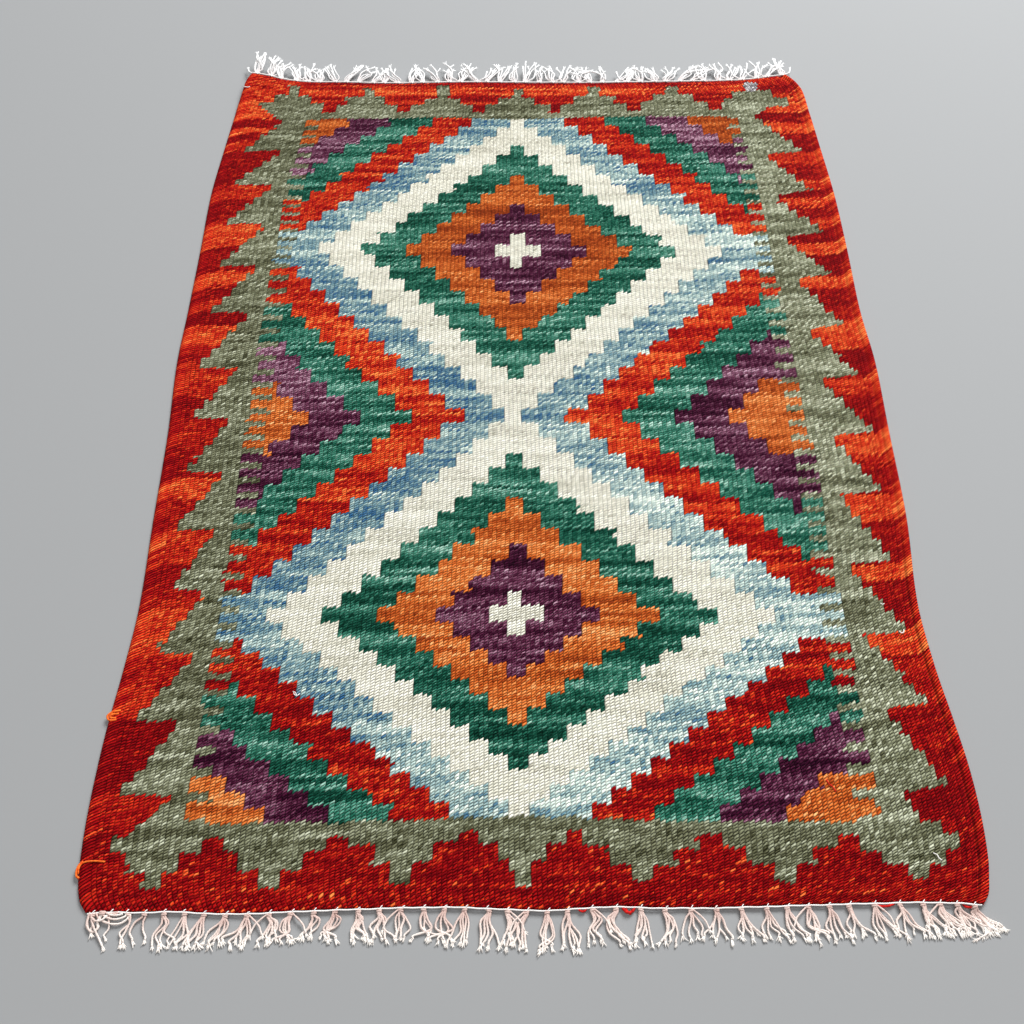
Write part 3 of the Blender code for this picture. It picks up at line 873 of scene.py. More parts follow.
def woven_length(grid, k, material):
    """One length of the body: its top with every bead, a plainer underside, and the rim between them."""
    rows_each = HALF_ROWS // LENGTHS
    a, b = k * rows_each, (k + 1) * rows_each
    x, y, top, crease_shade = (grid[key][a : b + 1] for key in ("x", "y", "top", "crease_shade"))
    low_all, kinds, first = grid["low"][a : b + 1], grid["kinds"], grid["first"]
    rows, cols = x.shape
    index = np.arange(rows * cols).reshape(rows, cols)
    verts = [np.stack([x.ravel(), y.ravel(), top.ravel()], 1)]
    count = rows * cols

    # Top faces, two to each cell. The cut follows the rise of the beads.
    row = np.arange(rows - 1)[:, None] + a + 0 * np.arange(cols - 1)[None, :]
    c = np.arange(cols - 1)[None, :] + 0 * row
    c0, c1 = index[:-1, :-1], index[:-1, 1:]
    d0, d1 = index[1:, :-1], index[1:, 1:]
    lower = np.stack([c0, c1, d1], -1)
    upper = np.stack([c0, d1, d0], -1)
    rib = np.clip((c - first) // 2, 0, RIBS - 1)
    left_half = (kinds[:-1] == 0)[None, :] & np.ones(row.shape, bool)
    cord = ((kinds[:-1] == -1) | (kinds[1:] == -1))[None, :] & np.ones(row.shape, bool)
    own_lower, own_upper = owners(row, rib, left_half)
    # The selvedges take their tone from the nearest bead of the same weft.
    slant = np.rint(turns(grid["across"][:-1], row)).astype(int)
    own_cord = slant + (slant + rib) % 2 - 2 * (rib > 0)
    west = np.where(left_half, -1.0, 0.0)
    faces, yarn, tone, bead = [lower.reshape(-1, 3), upper.reshape(-1, 3)], [], [], []
    for own, corners in ((own_lower, ((0, 0), (0, 1), (1, 1))), (own_upper, ((0, 0), (1, 1), (1, 0)))):
        own = np.clip(np.where(cord, own_cord, own), 0, HALF_ROWS)
        yarn.append(np.where(cord, RED, grid["yarn"][own, rib]).ravel())
        tone.append(np.where(cord, lit_cord_tone(grid, own, rib), grid["tone"][own, rib]).ravel())
        at = np.zeros((*row.shape, 3, 3))
        for k_, (up, east) in enumerate(corners):
            side = west + east
            at[:, :, k_, 0] = np.where(cord, 0.0, side)
            at[:, :, k_, 1] = np.where(cord, turns(grid["across"][c + east], row + up), row + up - own - side)
        at[..., 2] = grid["deep"][own, rib][..., None]
        bead.append(at.reshape(-1, 3, 3))

    # The underside: every second column and every fourth row.
    keep_c = np.unique(np.concatenate([np.arange(0, first), np.arange(first, cols - first, 2), np.arange(cols - first, cols)]))
    keep_r = np.arange(0, rows, 4)
    ux, uy = x[np.ix_(keep_r, keep_c)], y[np.ix_(keep_r, keep_c)]
    ul = low_all[np.ix_(keep_r, keep_c)]
    under = count + np.arange(ux.size).reshape(ux.shape)
    verts.append(np.stack([ux.ravel(), uy.ravel(), ul.ravel()], 1))
    e0, e1, f0, f1 = under[:-1, :-1], under[:-1, 1:], under[1:, :-1], under[1:, 1:]
    faces += [np.stack([e0, f1, e1], -1).reshape(-1, 3), np.stack([e0, f0, f1], -1).reshape(-1, 3)]
    mid_r = np.clip(keep_r[:-1] + a + 2, 0, HALF_ROWS)[:, None]
    mid_rib = np.clip((keep_c[:-1] - first) // 2, 0, RIBS - 1)[None, :]
    on_cord = ((keep_c[:-1] < first) | (keep_c[:-1] >= cols - first - 1))[None, :] & np.ones((len(keep_r) - 1, 1), bool)
    under_yarn = np.where(on_cord, RED, grid["yarn"][mid_r, mid_rib])
    under_tone = np.where(on_cord, 0.42, grid["tone"][mid_r, mid_rib])
    yarn += [under_yarn.ravel()] * 2
    tone += [under_tone.ravel()] * 2
    for corners in (((0, 0), (1, 1), (0, 1)), ((0, 0), (1, 0), (1, 1))):
        at = np.zeros((*on_cord.shape, 3, 3))
        for k_, (up, east) in enumerate(corners):
            at_row = keep_r[:-1][:, None] + a + 4 * up
            at[:, :, k_, 0] = np.where(on_cord, 0.0, 2.0 * east - 1.0)
            at[:, :, k_, 1] = np.where(
                on_cord, turns(grid["across"][keep_c[:-1] + east][None, :], at_row), at_row + mid_rib % 2 - (2.0 * east - 1.0)
            )
        bead.append(at.reshape(-1, 3, 3))

    # The rim: each side's finer top edge is joined to the coarser edge below it.
    def zip_edge(fine, coarse, at_fine, at_coarse, turned):
        made, i, j = [], 0, 0
        while i < len(fine) - 1 or j < len(coarse) - 1:
            if j == len(coarse) - 1 or (i < len(fine) - 1 and at_fine[i + 1] <= at_coarse[j + 1]):
                tri = (fine[i], fine[i + 1], coarse[j])
                i += 1
            else:
                tri = (fine[i], coarse[j + 1], coarse[j])
                j += 1
            made.append(tri[::-1] if turned else tri)
        return np.array(made)

    all_c, all_r = np.arange(cols), np.arange(rows)
    rims = (
        zip_edge(index[0], under[0], all_c, keep_c, True),
        zip_edge(index[-1], under[-1], all_c, keep_c, False),
        zip_edge(index[:, 0], under[:, 0], all_r, keep_r, False),
        zip_edge(index[:, -1], under[:, -1], all_r, keep_r, True),
    )
    row_of = np.concatenate([np.repeat(all_r, cols), np.repeat(keep_r, len(keep_c))]) + a
    for rim in rims:
        faces.append(rim)
        yarn.append(np.full(len(rim), RED))
        tone.append(np.full(len(rim), 0.36))
        at = np.zeros((len(rim), 3, 3))
        at[:, :, 1] = row_of[rim] + 1.0
        bead.append(at)
    faces = np.concatenate(faces)
    verts = np.concatenate(verts)
    crease_shade_points = np.concatenate([crease_shade.ravel(), np.zeros(ux.size)])
    piece = mesh_object(
        "woven_body_" + ("near", "middle", "far")[k],
        verts,
        faces,
        material,
        point={"crease_shade": crease_shade_points},
        face={"yarn": np.concatenate(yarn), "tone": np.concatenate(tone)},
        corner={"bead": np.concatenate(bead).reshape(-1, 3)},
    )
    lay_map(piece, grid, a, b, rows, cols, keep_r, keep_c, count, len(rims[0]) + len(rims[1]), sum(map(len, rims)))
    sharpen_seams(piece, grid, index, k, a, b)
    return piece


def lit_cord_tone(grid, own, rib):
    """The tone of the red wool round a selvedge. The right one's cord is painted brighter, a painted highlight, and the
    left one's a little darker, painted shade.
    """
    return np.clip(grid["tone"][own, rib] + np.where(rib > 0, 0.14, -0.05), 0.04, 0.95)


def lay_map(piece, grid, a, b, rows, cols, keep_r, keep_c, count, ends, rim_faces):
    """A map that spreads the top over most of the square, with the underside and the rim in strips below it."""
    mesh = piece.data
    n = len(mesh.vertices)
    uv = np.zeros((n, 2))
    across = grid["across"]
    low, high = 0.17, 0.998
    uu, vv = np.meshgrid(0.002 + 0.996 * across, low + (high - low) * np.arange(rows) / (rows - 1))
    uv[:count, 0], uv[:count, 1] = uu.ravel(), vv.ravel()
    uu, vv = np.meshgrid(0.002 + 0.996 * across[keep_c], 0.022 + 0.135 * keep_r / (rows - 1))
    uv[count:, 0], uv[count:, 1] = uu.ravel(), vv.ravel()
    loops = np.empty(len(mesh.loops), np.int32)
    mesh.loops.foreach_get("vertex_index", loops)
    placed = uv[loops].reshape(-1, 3, 2)
    # The rim's faces are the last ones. They share two thin strips at the foot of the map.
    rim = loops.reshape(-1, 3)[-rim_faces:]
    side = np.where(rim < count, 1.0, 0.0)
    strip = np.zeros((rim_faces, 3, 2))
    for start, stop, base in ((0, ends, 0.003), (ends, rim_faces, 0.012)):
        along = placed[-rim_faces:][start:stop, :, 0] if base < 0.01 else (
            np.where(
                rim[start:stop] < count,
                (placed[-rim_faces:][start:stop, :, 1] - low) / (high - low),
                (placed[-rim_faces:][start:stop, :, 1] - 0.022) / 0.135,
            )
        )
        half = np.zeros((stop - start, 1))
        half[(stop - start) // 2 :] = 1.0
        strip[start:stop, :, 0] = 0.003 + 0.48 * along + 0.50 * half
        strip[start:stop, :, 1] = base + 0.006 * side[start:stop]
    placed[-rim_faces:] = strip
    layer = mesh.uv_layers.new(name="OFBake")
    layer.data.foreach_set("uv", placed.astype(np.float32).ravel())


def sharpen_seams(piece, grid, index, k, a, b):
    """Gives the places shared by two lengths the same normal on both, so that no line shows between them."""
    x, y, z = grid["x"], grid["y"], grid["top"]
    normals = np.zeros((len(piece.data.vertices), 3))
    for here, row in ((0, a), (-1, b)):
        if row in (0, HALF_ROWS):
            continue
        p = np.stack([x, y, z], -1)[row - 1 : row + 2]
        along = p[2] - p[0]
        over = np.gradient(p[1], axis=0)
        normal = np.cross(over, along)
        normal /= np.linalg.norm(normal, axis=1, keepdims=True)
        normals[index[here]] = normal
    piece.data.normals_split_custom_set_from_vertices(normals.tolist())


# ---------------------------------------------------------------- cotton


class Yarns:
    """Collects tubes of cotton into one mesh."""

    def __init__(self):
        self.verts, self.faces, self.share, self.ply, self.count = [], [], [], [], 0

    def tube(self, points, radius, sides=6, pitch=0.0, turn=0.0, shares=(0.0, 1.0), flat=1.0, deep=0.34):
        """A tube through the points. pitch: the length of a full turn of its two plies, or 0 for a plain one."""
        p = np.asarray(points, float)
        n = len(p)
        tangent = np.gradient(p, axis=0)
        tangent /= np.maximum(np.linalg.norm(tangent, axis=1, keepdims=True), 1e-9)
        side = np.cross(tangent, (0.0, 0.0, 1.0))
        weak = np.linalg.norm(side, axis=1) < 0.2
        side[weak] = np.cross(tangent[weak], (0.0, 1.0, 0.0))
        for i in range(1, n):
            if np.dot(side[i], side[i - 1]) < 0:
                side[i] = -side[i]
        side /= np.linalg.norm(side, axis=1, keepdims=True)
        over = np.cross(side, tangent)
        run = np.concatenate([[0.0], np.cumsum(np.linalg.norm(np.diff(p, axis=0), axis=1))])
        angle = 2 * math.pi * np.arange(sides)[None, :] / sides
        spin = turn + (2 * math.pi * run[:, None] / pitch if pitch else 0.0 * run[:, None])
        lobes = abs(np.cos(angle - spin)) if pitch else np.ones((n, sides))
        r = np.broadcast_to(np.asarray(radius, float).reshape(-1, 1), (n, 1)) * (1.0 - deep * (1.0 - lobes))
        ring = (
            p[:, None, :]
            + side[:, None, :] * (r * np.cos(angle))[..., None]
            + over[:, None, :] * (r * np.sin(angle) * flat)[..., None]
        )
        first = self.count
        self.verts.append(ring.reshape(-1, 3))
        self.share.append(np.repeat(np.linspace(shares[0], shares[1], n), sides))
        self.ply.append(lobes.ravel())
        index = first + np.arange(n * sides).reshape(n, sides)
        nxt = np.roll(index, -1, axis=1)
        self.faces.append(np.stack([index[:-1], nxt[:-1], nxt[1:]], -1).reshape(-1, 3))
        self.faces.append(np.stack([index[:-1], nxt[1:], index[1:]], -1).reshape(-1, 3))
        for row, turned in ((index[0], False), (index[-1], True)):
            fan = np.array([(row[0], row[i + 1], row[i]) for i in range(1, sides - 1)])
            self.faces.append(fan[:, ::-1] if turned else fan)
        self.count += n * sides

    def piece(self, name, material):
        made = mesh_object(
            name,
            np.concatenate(self.verts),
            np.concatenate(self.faces),
            material,
            point={"share": np.concatenate(self.share), "ply": np.concatenate(self.ply)},
        )
        return made


def smooth_path(points, count):
    """count points on a smooth curve through these."""
    p = np.asarray(points, float)
    run = np.concatenate([[0.0], np.cumsum(np.linalg.norm(np.diff(p, axis=0), axis=1))])
    rows = [(run[i], *p[i]) for i in range(len(p))]
    at = np.linspace(0.0, run[-1], count)
    return np.stack([flowing(rows, at, axis + 1) for axis in range(3)], 1)


def end_line(across, along):
    """A place on one end of the woven body, as drawn."""
    x, y = plan(across, along)
    return float(x), float(y)


def across_of(x, along):
    """The share of the width where an end is at x."""
    shares = np.linspace(0.0, 1.0, 601)
    xs, _ = plan(shares, np.full(601, along))
    return float(np.interp(x, xs, shares))


def brush(yarns, rng, path, radius, length, floor_z, fibres=8, spread=0.30):
    """The loose fibres at a strand's tip. They start inside it and flare out of its end."""
    tip = path[-1]
    heading = math.atan2(path[-1][1] - path[-4][1], path[-1][0] - path[-4][0])
    for i in range(fibres):
        side = (i + 0.5) / fibres * 2.0 - 1.0
        turn = heading + spread * side * rng.uniform(0.6, 1.5) + rng.normal(0.0, 0.10)
        reach = length * rng.uniform(0.55, 1.1)
        bend = rng.normal(0.0, 0.22)
        points = []
        for t in (-0.25, 0.3, 0.7, 1.0):
            d = turn + bend * t
            points.append(
                (
                    tip[0] + reach * t * math.cos(d) - 0.5 * radius * side * math.sin(heading),
                    tip[1] + reach * t * math.sin(d) + 0.5 * radius * side * math.cos(heading),
                    max(tip[2] + (0.35 * t if tip[2] > 2 else -0.25 * t) + rng.normal(0.0, 0.2), floor_z),
                )
            )
        yarns.tube(
            points, radius * np.array((0.40, 0.40, 0.38, 0.26)), sides=4, shares=(0.85, 1.0)
        )


NEAR_ROOTS = (
    # bundle, x
    (0, -286.0),
    (1, -275.0),
    (3, -253.0),
    (6, -215.0),
    (10, -158.0),
    (16, -73.0),
    (20, -19.0),
    (23, 20.0),
    (26, 67.0),
    (31, 149.0),
    (35, 203.0),
    (38, 251.0),
    (41, 283.0),
)
# How a near bundle lies. lean: tips to the right of the root. length: how far out. bow: how far its strands bulge.
NEAR_LIE = (
    # x, lean, length, bow, spread
    (-290, 2.0, 15.0, 1.0, 3.0),
    (-262, -3.5, 21.0, 1.8, 4.5),
    (-240, -1.5, 21.5, 2.6, 5.0),
    (-215, -6.0, 21.0, 1.4, 5.5),
    (-175, -1.5, 19.5, 2.8, 5.0),
    (-150, -5.0, 18.0, 1.8, 5.0),
    (-110, 1.0, 19.5, 2.6, 5.5),
    (-60, 0.5, 22.0, 3.4, 5.0),
    (-20, -2.5, 23.5, 2.4, 5.5),
    (10, 1.5, 25.0, 3.0, 5.0),
    (47, 4.0, 24.0, 4.6, 4.0),
    (80, 0.5, 22.0, 2.6, 5.0),
    (120, 2.5, 19.5, 2.4, 5.5),
    (160, 6.5, 21.5, 2.0, 5.0),
    (190, 2.0, 23.0, 2.6, 5.0),
    (220, 6.0, 21.0, 1.6, 6.5),
    (250, 8.5, 21.0, 1.4, 5.5),
    (283, 9.5, 17.0, 1.2, 6.5),
)
# The ways a bundle's strands run from its hitch to their tips, as shares of its bow and spread.
STYLES = (
    # share of bundles, bow to one side, bow back again, bow apart, tips apart
    (0.34, 1.0, 0.9, 0.2, 0.9),
    (0.14, 0.0, 0.0, 0.7, 1.0),
    (0.14, 0.3, 0.0, 0.5, -0.9),
    (0.18, 0.6, -0.5, 0.2, 1.1),
    (0.18, 0.1, 0.0, 0.2, 1.4),
)


def bundle_style(rng):
    shares = np.array([row[0] for row in STYLES])
    row = STYLES[int(rng.choice(len(STYLES), p=shares / shares.sum()))]
    return (1.0 if rng.random() < 0.5 else -1.0), row[1:]


def knot(yarns, x0, y0, z0, outwards, rng, radius=0.58):
    """The hitch that holds a bundle: two turns of its own strands beside the cord."""
    for turn in range(2):
        tilt = rng.uniform(-0.5, 0.5)
        loop = [
            (x0 + 1.55 * math.cos(t), y0 + outwards * (1.5 + 1.0 * turn + tilt * math.cos(t)), z0 + 0.75 * math.sin(t))
            for t in np.linspace(0.0, 2 * math.pi * 0.93, 10)
        ]
        yarns.tube(loop, radius, sides=5, shares=(0.1, 0.3))


def near_fringe(material):
    rng = np.random.default_rng(31)
    yarns = Yarns()
    for k in range(42):
        root_x = float(np.interp(k, [r[0] for r in NEAR_ROOTS], [r[1] for r in NEAR_ROOTS])) + rng.normal(0, 0.6)
        u = across_of(root_x, 0.0)
        x0, y0 = end_line(u, 0.0)
        lean, length, bow, spread = (float(np.interp(x0, [r[0] for r in NEAR_LIE], [r[i] for r in NEAR_LIE])) for i in (1, 2, 3, 4))
        lift = float(curl(np.array(x0), np.array(y0)))
        lean += rng.normal(0, 1.6)
        strands = int(rng.choice((4, 5, 5, 6)))
        if k < 4:
            strands = (1, 1, 1, 2)[k]
        if k > 37:
            strands = 8
        way, (aside, back, apart, tips) = bundle_style(rng)
        if k > 37:
            way, aside, back, apart, tips = 1.0, -0.6, 0.2, 0.3, 1.2
        for s in range(strands):
            place = (s - (strands - 1) / 2) / max(strands - 1, 1)  # -0.5 to 0.5
            far = length * rng.uniform(0.83, 1.05)
            first = way * aside * bow * 1.15 + 2 * place * apart * bow + rng.normal(0, 0.8)
            second = way * back * bow + 2 * place * apart * bow * 0.9 + rng.normal(0, 1.0)
            tip_x = x0 + lean + 2.0 * spread * place * tips * rng.uniform(0.8, 1.15) + rng.normal(0, 1.5)
            path = smooth_path(
                (
                    (x0 + 1.7 * place + rng.normal(0, 0.2), y0 - 0.9, lift + 1.6 + rng.uniform(-0.3, 0.3)),
                    (x0 + 1.9 * place + 0.06 * lean, y0 - 3.6, lift * 0.7 + 1.7 + rng.uniform(-0.3, 0.4)),
                    (x0 + 0.22 * lean + 3.4 * place + first, y0 - 0.38 * far, 1.2 + 0.8 * rng.random()),
                    (x0 + 0.55 * lean + 1.2 * spread * place * abs(tips) + second, y0 - 0.70 * far, 0.95 + 0.6 * rng.random()),
                    (tip_x, y0 - far + 1.5, 0.8 + 0.3 * rng.random()),
                    (tip_x + rng.normal(0, 0.5), y0 - far, 0.75),
                ),
                24,
            )
            path[:, 2] = np.maximum(path[:, 2], 1.0)
            path[:, 0] += 0.55 * np.sin(np.linspace(0.0, rng.uniform(5.0, 11.0), 24) + rng.uniform(0, 6)) * np.linspace(0, 1, 24)
            thick = 0.84 * rng.uniform(0.85, 1.15)
            yarns.tube(path, thick, sides=6, pitch=3.6, turn=rng.uniform(0, 3), shares=(0.0, 0.8), deep=0.42)
            brush(yarns, rng, path, thick, rng.uniform(2.6, 4.8), 0.42, fibres=7, spread=rng.uniform(0.14, 0.36))
        knot(yarns, x0, y0, lift + 1.75, -1.0, rng)
        # A strand shared with the next bundle, which crosses over.
        if k in (9, 15, 20, 24, 28, 33, 36) or rng.random() < 0.12:
            side = 1 if k % 2 == 0 else -1
            path = smooth_path(
                (
                    (x0 + 1.0 * side, y0 - 1.4, lift + 1.7),
                    (x0 + 4.5 * side, y0 - 4.6, 2.5),
                    (x0 + 8.6 * side, y0 - 8.8, 2.2),
                    (x0 + 11.0 * side, y0 - 14.5, 1.6),
                ),
                14,
            )
            yarns.tube(path, 0.72, sides=6, pitch=3.4, shares=(0.1, 0.7))
            brush(yarns, rng, path, 0.72, 3.2, 0.4, fibres=6)
    # The tangle at the left end: a thick loop, a straight strand lying free, and arcs from knot to knot.
    for path, radius in (
        (((-288.0, -434.0, 1.9), (-289.0, -438.6, 1.6), (-288.4, -443.2, 1.3), (-284.8, -446.2, 1.1), (-281.6, -444.0, 1.2), (-282.2, -439.6, 1.6), (-280.4, -435.6, 2.0)), 0.80),
        (((-286.8, -435.0, 2.3), (-286.2, -439.0, 2.2), (-283.4, -444.6, 2.1), (-279.6, -450.4, 1.3), (-276.6, -455.4, 0.8)), 0.62),
        (((-284.6, -434.2, 2.0), (-281.0, -438.4, 2.0), (-275.2, -441.0, 1.8), (-268.8, -441.4, 1.6), (-264.2, -439.0, 1.7), (-261.8, -435.4, 2.0)), 0.62),
        (((-281.6, -434.0, 2.1), (-277.2, -437.2, 2.3), (-271.4, -438.6, 2.1), (-266.2, -437.4, 2.1), (-262.8, -434.8, 2.1)), 0.60),
        (((-279.0, -433.6, 2.2), (-275.4, -435.6, 2.6), (-270.8, -436.2, 2.6), (-266.8, -435.2, 2.4)), 0.58),
        (((-287.0, -437.0, 2.4), (-283.8, -439.6, 2.8), (-279.6, -439.2, 2.8), (-276.8, -436.0, 2.3)), 0.58),
        (((-262.0, -436.0, 1.9), (-261.6, -440.4, 1.7), (-263.6, -446.4, 1.2), (-265.6, -451.0, 0.9), (-265.6, -454.6, 0.8)), 0.66),
    ):
        placed = smooth_path(path, 22)
        placed[:, 2] = np.maximum(placed[:, 2], radius * 1.35 + 0.05)
        yarns.tube(placed, radius * 1.35, sides=6, pitch=3.4, turn=rng.uniform(0, 3), shares=(0.15, 0.85), deep=0.42)
        if path[-1][1] < -450:
            brush(yarns, rng, placed, radius * 1.35, 3.4, 0.42)
    knot(yarns, -280.2, -432.6, 2.2, -1.0, rng, 0.85)
    knot(yarns, -271.6, -433.0, 2.0, -1.0, rng, 0.75)
    # Wisps curling round the right corner.
    for i in range(12):
        drop = 1.3 * i
        path = smooth_path(
            (
                (281.5 + 0.5 * (i % 4), -433.6 - 0.2 * i, 2.1),
                (284.6 + 0.3 * i, -436.8 - 0.55 * drop, 1.9),
                (289.0 + 0.2 * i, -441.6 - 0.55 * drop, 1.3),
                (293.0 - 0.6 * i, -445.6 - 0.5 * drop, 0.9),
                (297.2 - 1.5 * i, -448.6 - 0.45 * drop, 0.6),
            ),
            16,
        )
        yarns.tube(path, np.linspace(0.60, 0.42, 16), sides=5, pitch=2.8 if i % 2 else 0.0, shares=(0.0, 0.8))
        brush(yarns, rng, path, 0.5, 3.2, 0.24, fibres=6, spread=0.45)
    return yarns.piece("fringe_strands_near", material)


FAR_LIE = (
    # x, lean, length, rise, spread
    (-284, -0.5, 27.0, 16.5, 4.5),
    (-270, -2.0, 24.0, 12.5, 5.0),
    (-250, -2.0, 22.5, 9.0, 5.5),
    (-232, 0.0, 20.5, 6.0, 4.5),
    (-205, 0.5, 19.5, 5.5, 5.0),
    (-180, 8.0, 20.5, 5.0, 4.0),
    (-150, 7.0, 19.0, 5.0, 5.0),
    (-125, 0.0, 20.0, 6.0, 4.5),
    (-95, 0.0, 21.5, 6.5, 5.5),
    (-50, -1.0, 23.0, 6.5, 5.0),
    (-25, -3.0, 20.5, 6.0, 5.0),
    (5, 2.0, 25.0, 7.5, 5.0),
    (25, 1.0, 22.0, 6.0, 5.5),
    (50, -1.5, 19.0, 5.0, 5.0),
    (75, -5.5, 18.5, 4.6, 5.0),
    (105, 2.5, 19.5, 5.2, 5.0),
    (150, 0.0, 18.5, 5.0, 5.0),
    (185, 3.5, 20.0, 5.5, 4.5),
    (235, 5.5, 21.0, 5.6, 5.0),
    (270, 4.0, 21.0, 6.5, 5.0),
    (284, 3.0, 21.5, 7.5, 3.5),
)


def far_fringe(material):
    rng = np.random.default_rng(47)
    yarns = Yarns()
    for k in range(42):
        u = (k + 0.5) / 42 + 0.10 / 42 * math.sin(2.3 * k)
        x0, y0 = end_line(u, 1.0)
        lean, length, rise, spread = (float(np.interp(x0, [r[0] for r in FAR_LIE], [r[i] for r in FAR_LIE])) for i in (1, 2, 3, 4))
        lift = float(curl(np.array(x0), np.array(y0)))
        lean += rng.normal(0, 5.5)
        strands = int(rng.choice((5, 5, 6)))
        if k < 6:
            strands = 7
        if k < 3:
            lean, strands = 3.5 - k, 9
        way, (aside, back, apart, tips) = bundle_style(rng)
        for s in range(strands):
            place = (s - (strands - 1) / 2) / (strands - 1)
            reach = length * rng.uniform(0.66, 1.14)
            up = rise * rng.uniform(0.5, 1.0)
            first = way * aside * 1.7 + 3.0 * place * apart + rng.normal(0, 0.8)
            second = way * back * 1.5 + 3.0 * place * apart + rng.normal(0, 1.0)
            tip_x = x0 + lean + 2.0 * spread * place * tips * rng.uniform(0.7, 1.2) + rng.normal(0, 1.6)
            path = smooth_path(
                (
                    (x0 + 2.6 * place + rng.normal(0, 0.3), y0 + 0.9, lift + 1.7 + rng.uniform(-0.2, 0.3)),
                    (x0 + 3.8 * place, y0 + 3.0, lift + 2.1),
                    (x0 + 0.25 * lean + 5.4 * place + first, y0 + 0.36 * reach, lift * 0.6 + 1.9 + 0.3 * up),
                    (x0 + 0.6 * lean + 1.3 * spread * place * abs(tips) + second, y0 + 0.70 * reach, lift * 0.3 + 1.4 + 0.7 * up),
                    (tip_x, y0 + reach, 1.1 + up),
                ),
                22,
            )
            path[:, 2] = np.clip(path[:, 2], 0.95, 17.5)
            thick = 0.92 * rng.uniform(0.80, 1.12)
            yarns.tube(path, thick, sides=6, pitch=4.2, turn=rng.uniform(0, 3), shares=(0.1, 0.9), deep=0.36)
            brush(yarns, rng, path, thick, rng.uniform(3.4, 5.4), 0.5, fibres=5, spread=0.18)
        knot(yarns, x0, y0, lift + 1.95, 1.0, rng, 0.66)
        if rng.random() < 0.5:
            side = 1 if rng.random() < 0.5 else -1
            path = smooth_path(
                (
                    (x0 + side, y0 + 1.4, lift + 1.9),
                    (x0 + 4.8 * side, y0 + 3.2, lift * 0.6 + 3.0),
                    (x0 + 9.0 * side, y0 + 6.5, lift * 0.4 + 3.4),
                    (x0 + 11.0 * side, y0 + 13.0, 4.4),
                ),
                14,
            )
            yarns.tube(path, 0.9, sides=6, pitch=4.0, shares=(0.1, 0.8))
            brush(yarns, rng, path, 0.9, 3.2, 0.6, fibres=6)
    return yarns.piece("fringe_strands_far", material)


def end_cord(name, along, outwards, roots, raised, material):
    """The two-ply cord along one end, and the small tick where each hitch goes round it into the weave."""
    rng = np.random.default_rng(61)
    yarns = Yarns()
    shares = np.linspace(0.003, 0.997, 1300)
    x, y = plan(shares, np.full(shares.shape, along))
    off = GAP + 0.05 + CORD_RADIUS
    lift = curl(x, y)
    wave = 0.12 * np.sin(x * 0.45) + 0.10 * np.sin(x * 0.17 + 1.0)
    path = np.stack([x, y + outwards * (off - 0.1 + wave), lift + CORD_HEIGHT + raised], 1)
    yarns.tube(path, 0.50 + 0.30 * raised, sides=8, pitch=3.2, shares=(0.9, 0.9), deep=0.26)
    for root in roots:
        u = across_of(root, along)
        x0, y0 = end_line(u, along)
        up = float(curl(np.array(x0), np.array(y0))) + raised
        slip = rng.normal(0, 0.35)
        inner = rng.uniform(0.0, 0.7)
        path = smooth_path(
            (
                (x0 + slip - 0.6, y0 + outwards * 2.0, up + 1.5),
                (x0 + slip - 0.3, y0 + outwards * 1.3, up + 2.6),
                (x0 + slip + 0.4, y0 + outwards * 0.1, up + 2.6),
                (x0 + slip + 1.0, y0 - outwards * inner, up + 2.5),
                (x0 + slip + 1.3, y0 - outwards * (inner + 0.4), up + 2.0),
            ),
            10,
        )
        yarns.tube(path, 0.31, sides=5, shares=(0.6, 0.9))
    return yarns.piece(name, material)


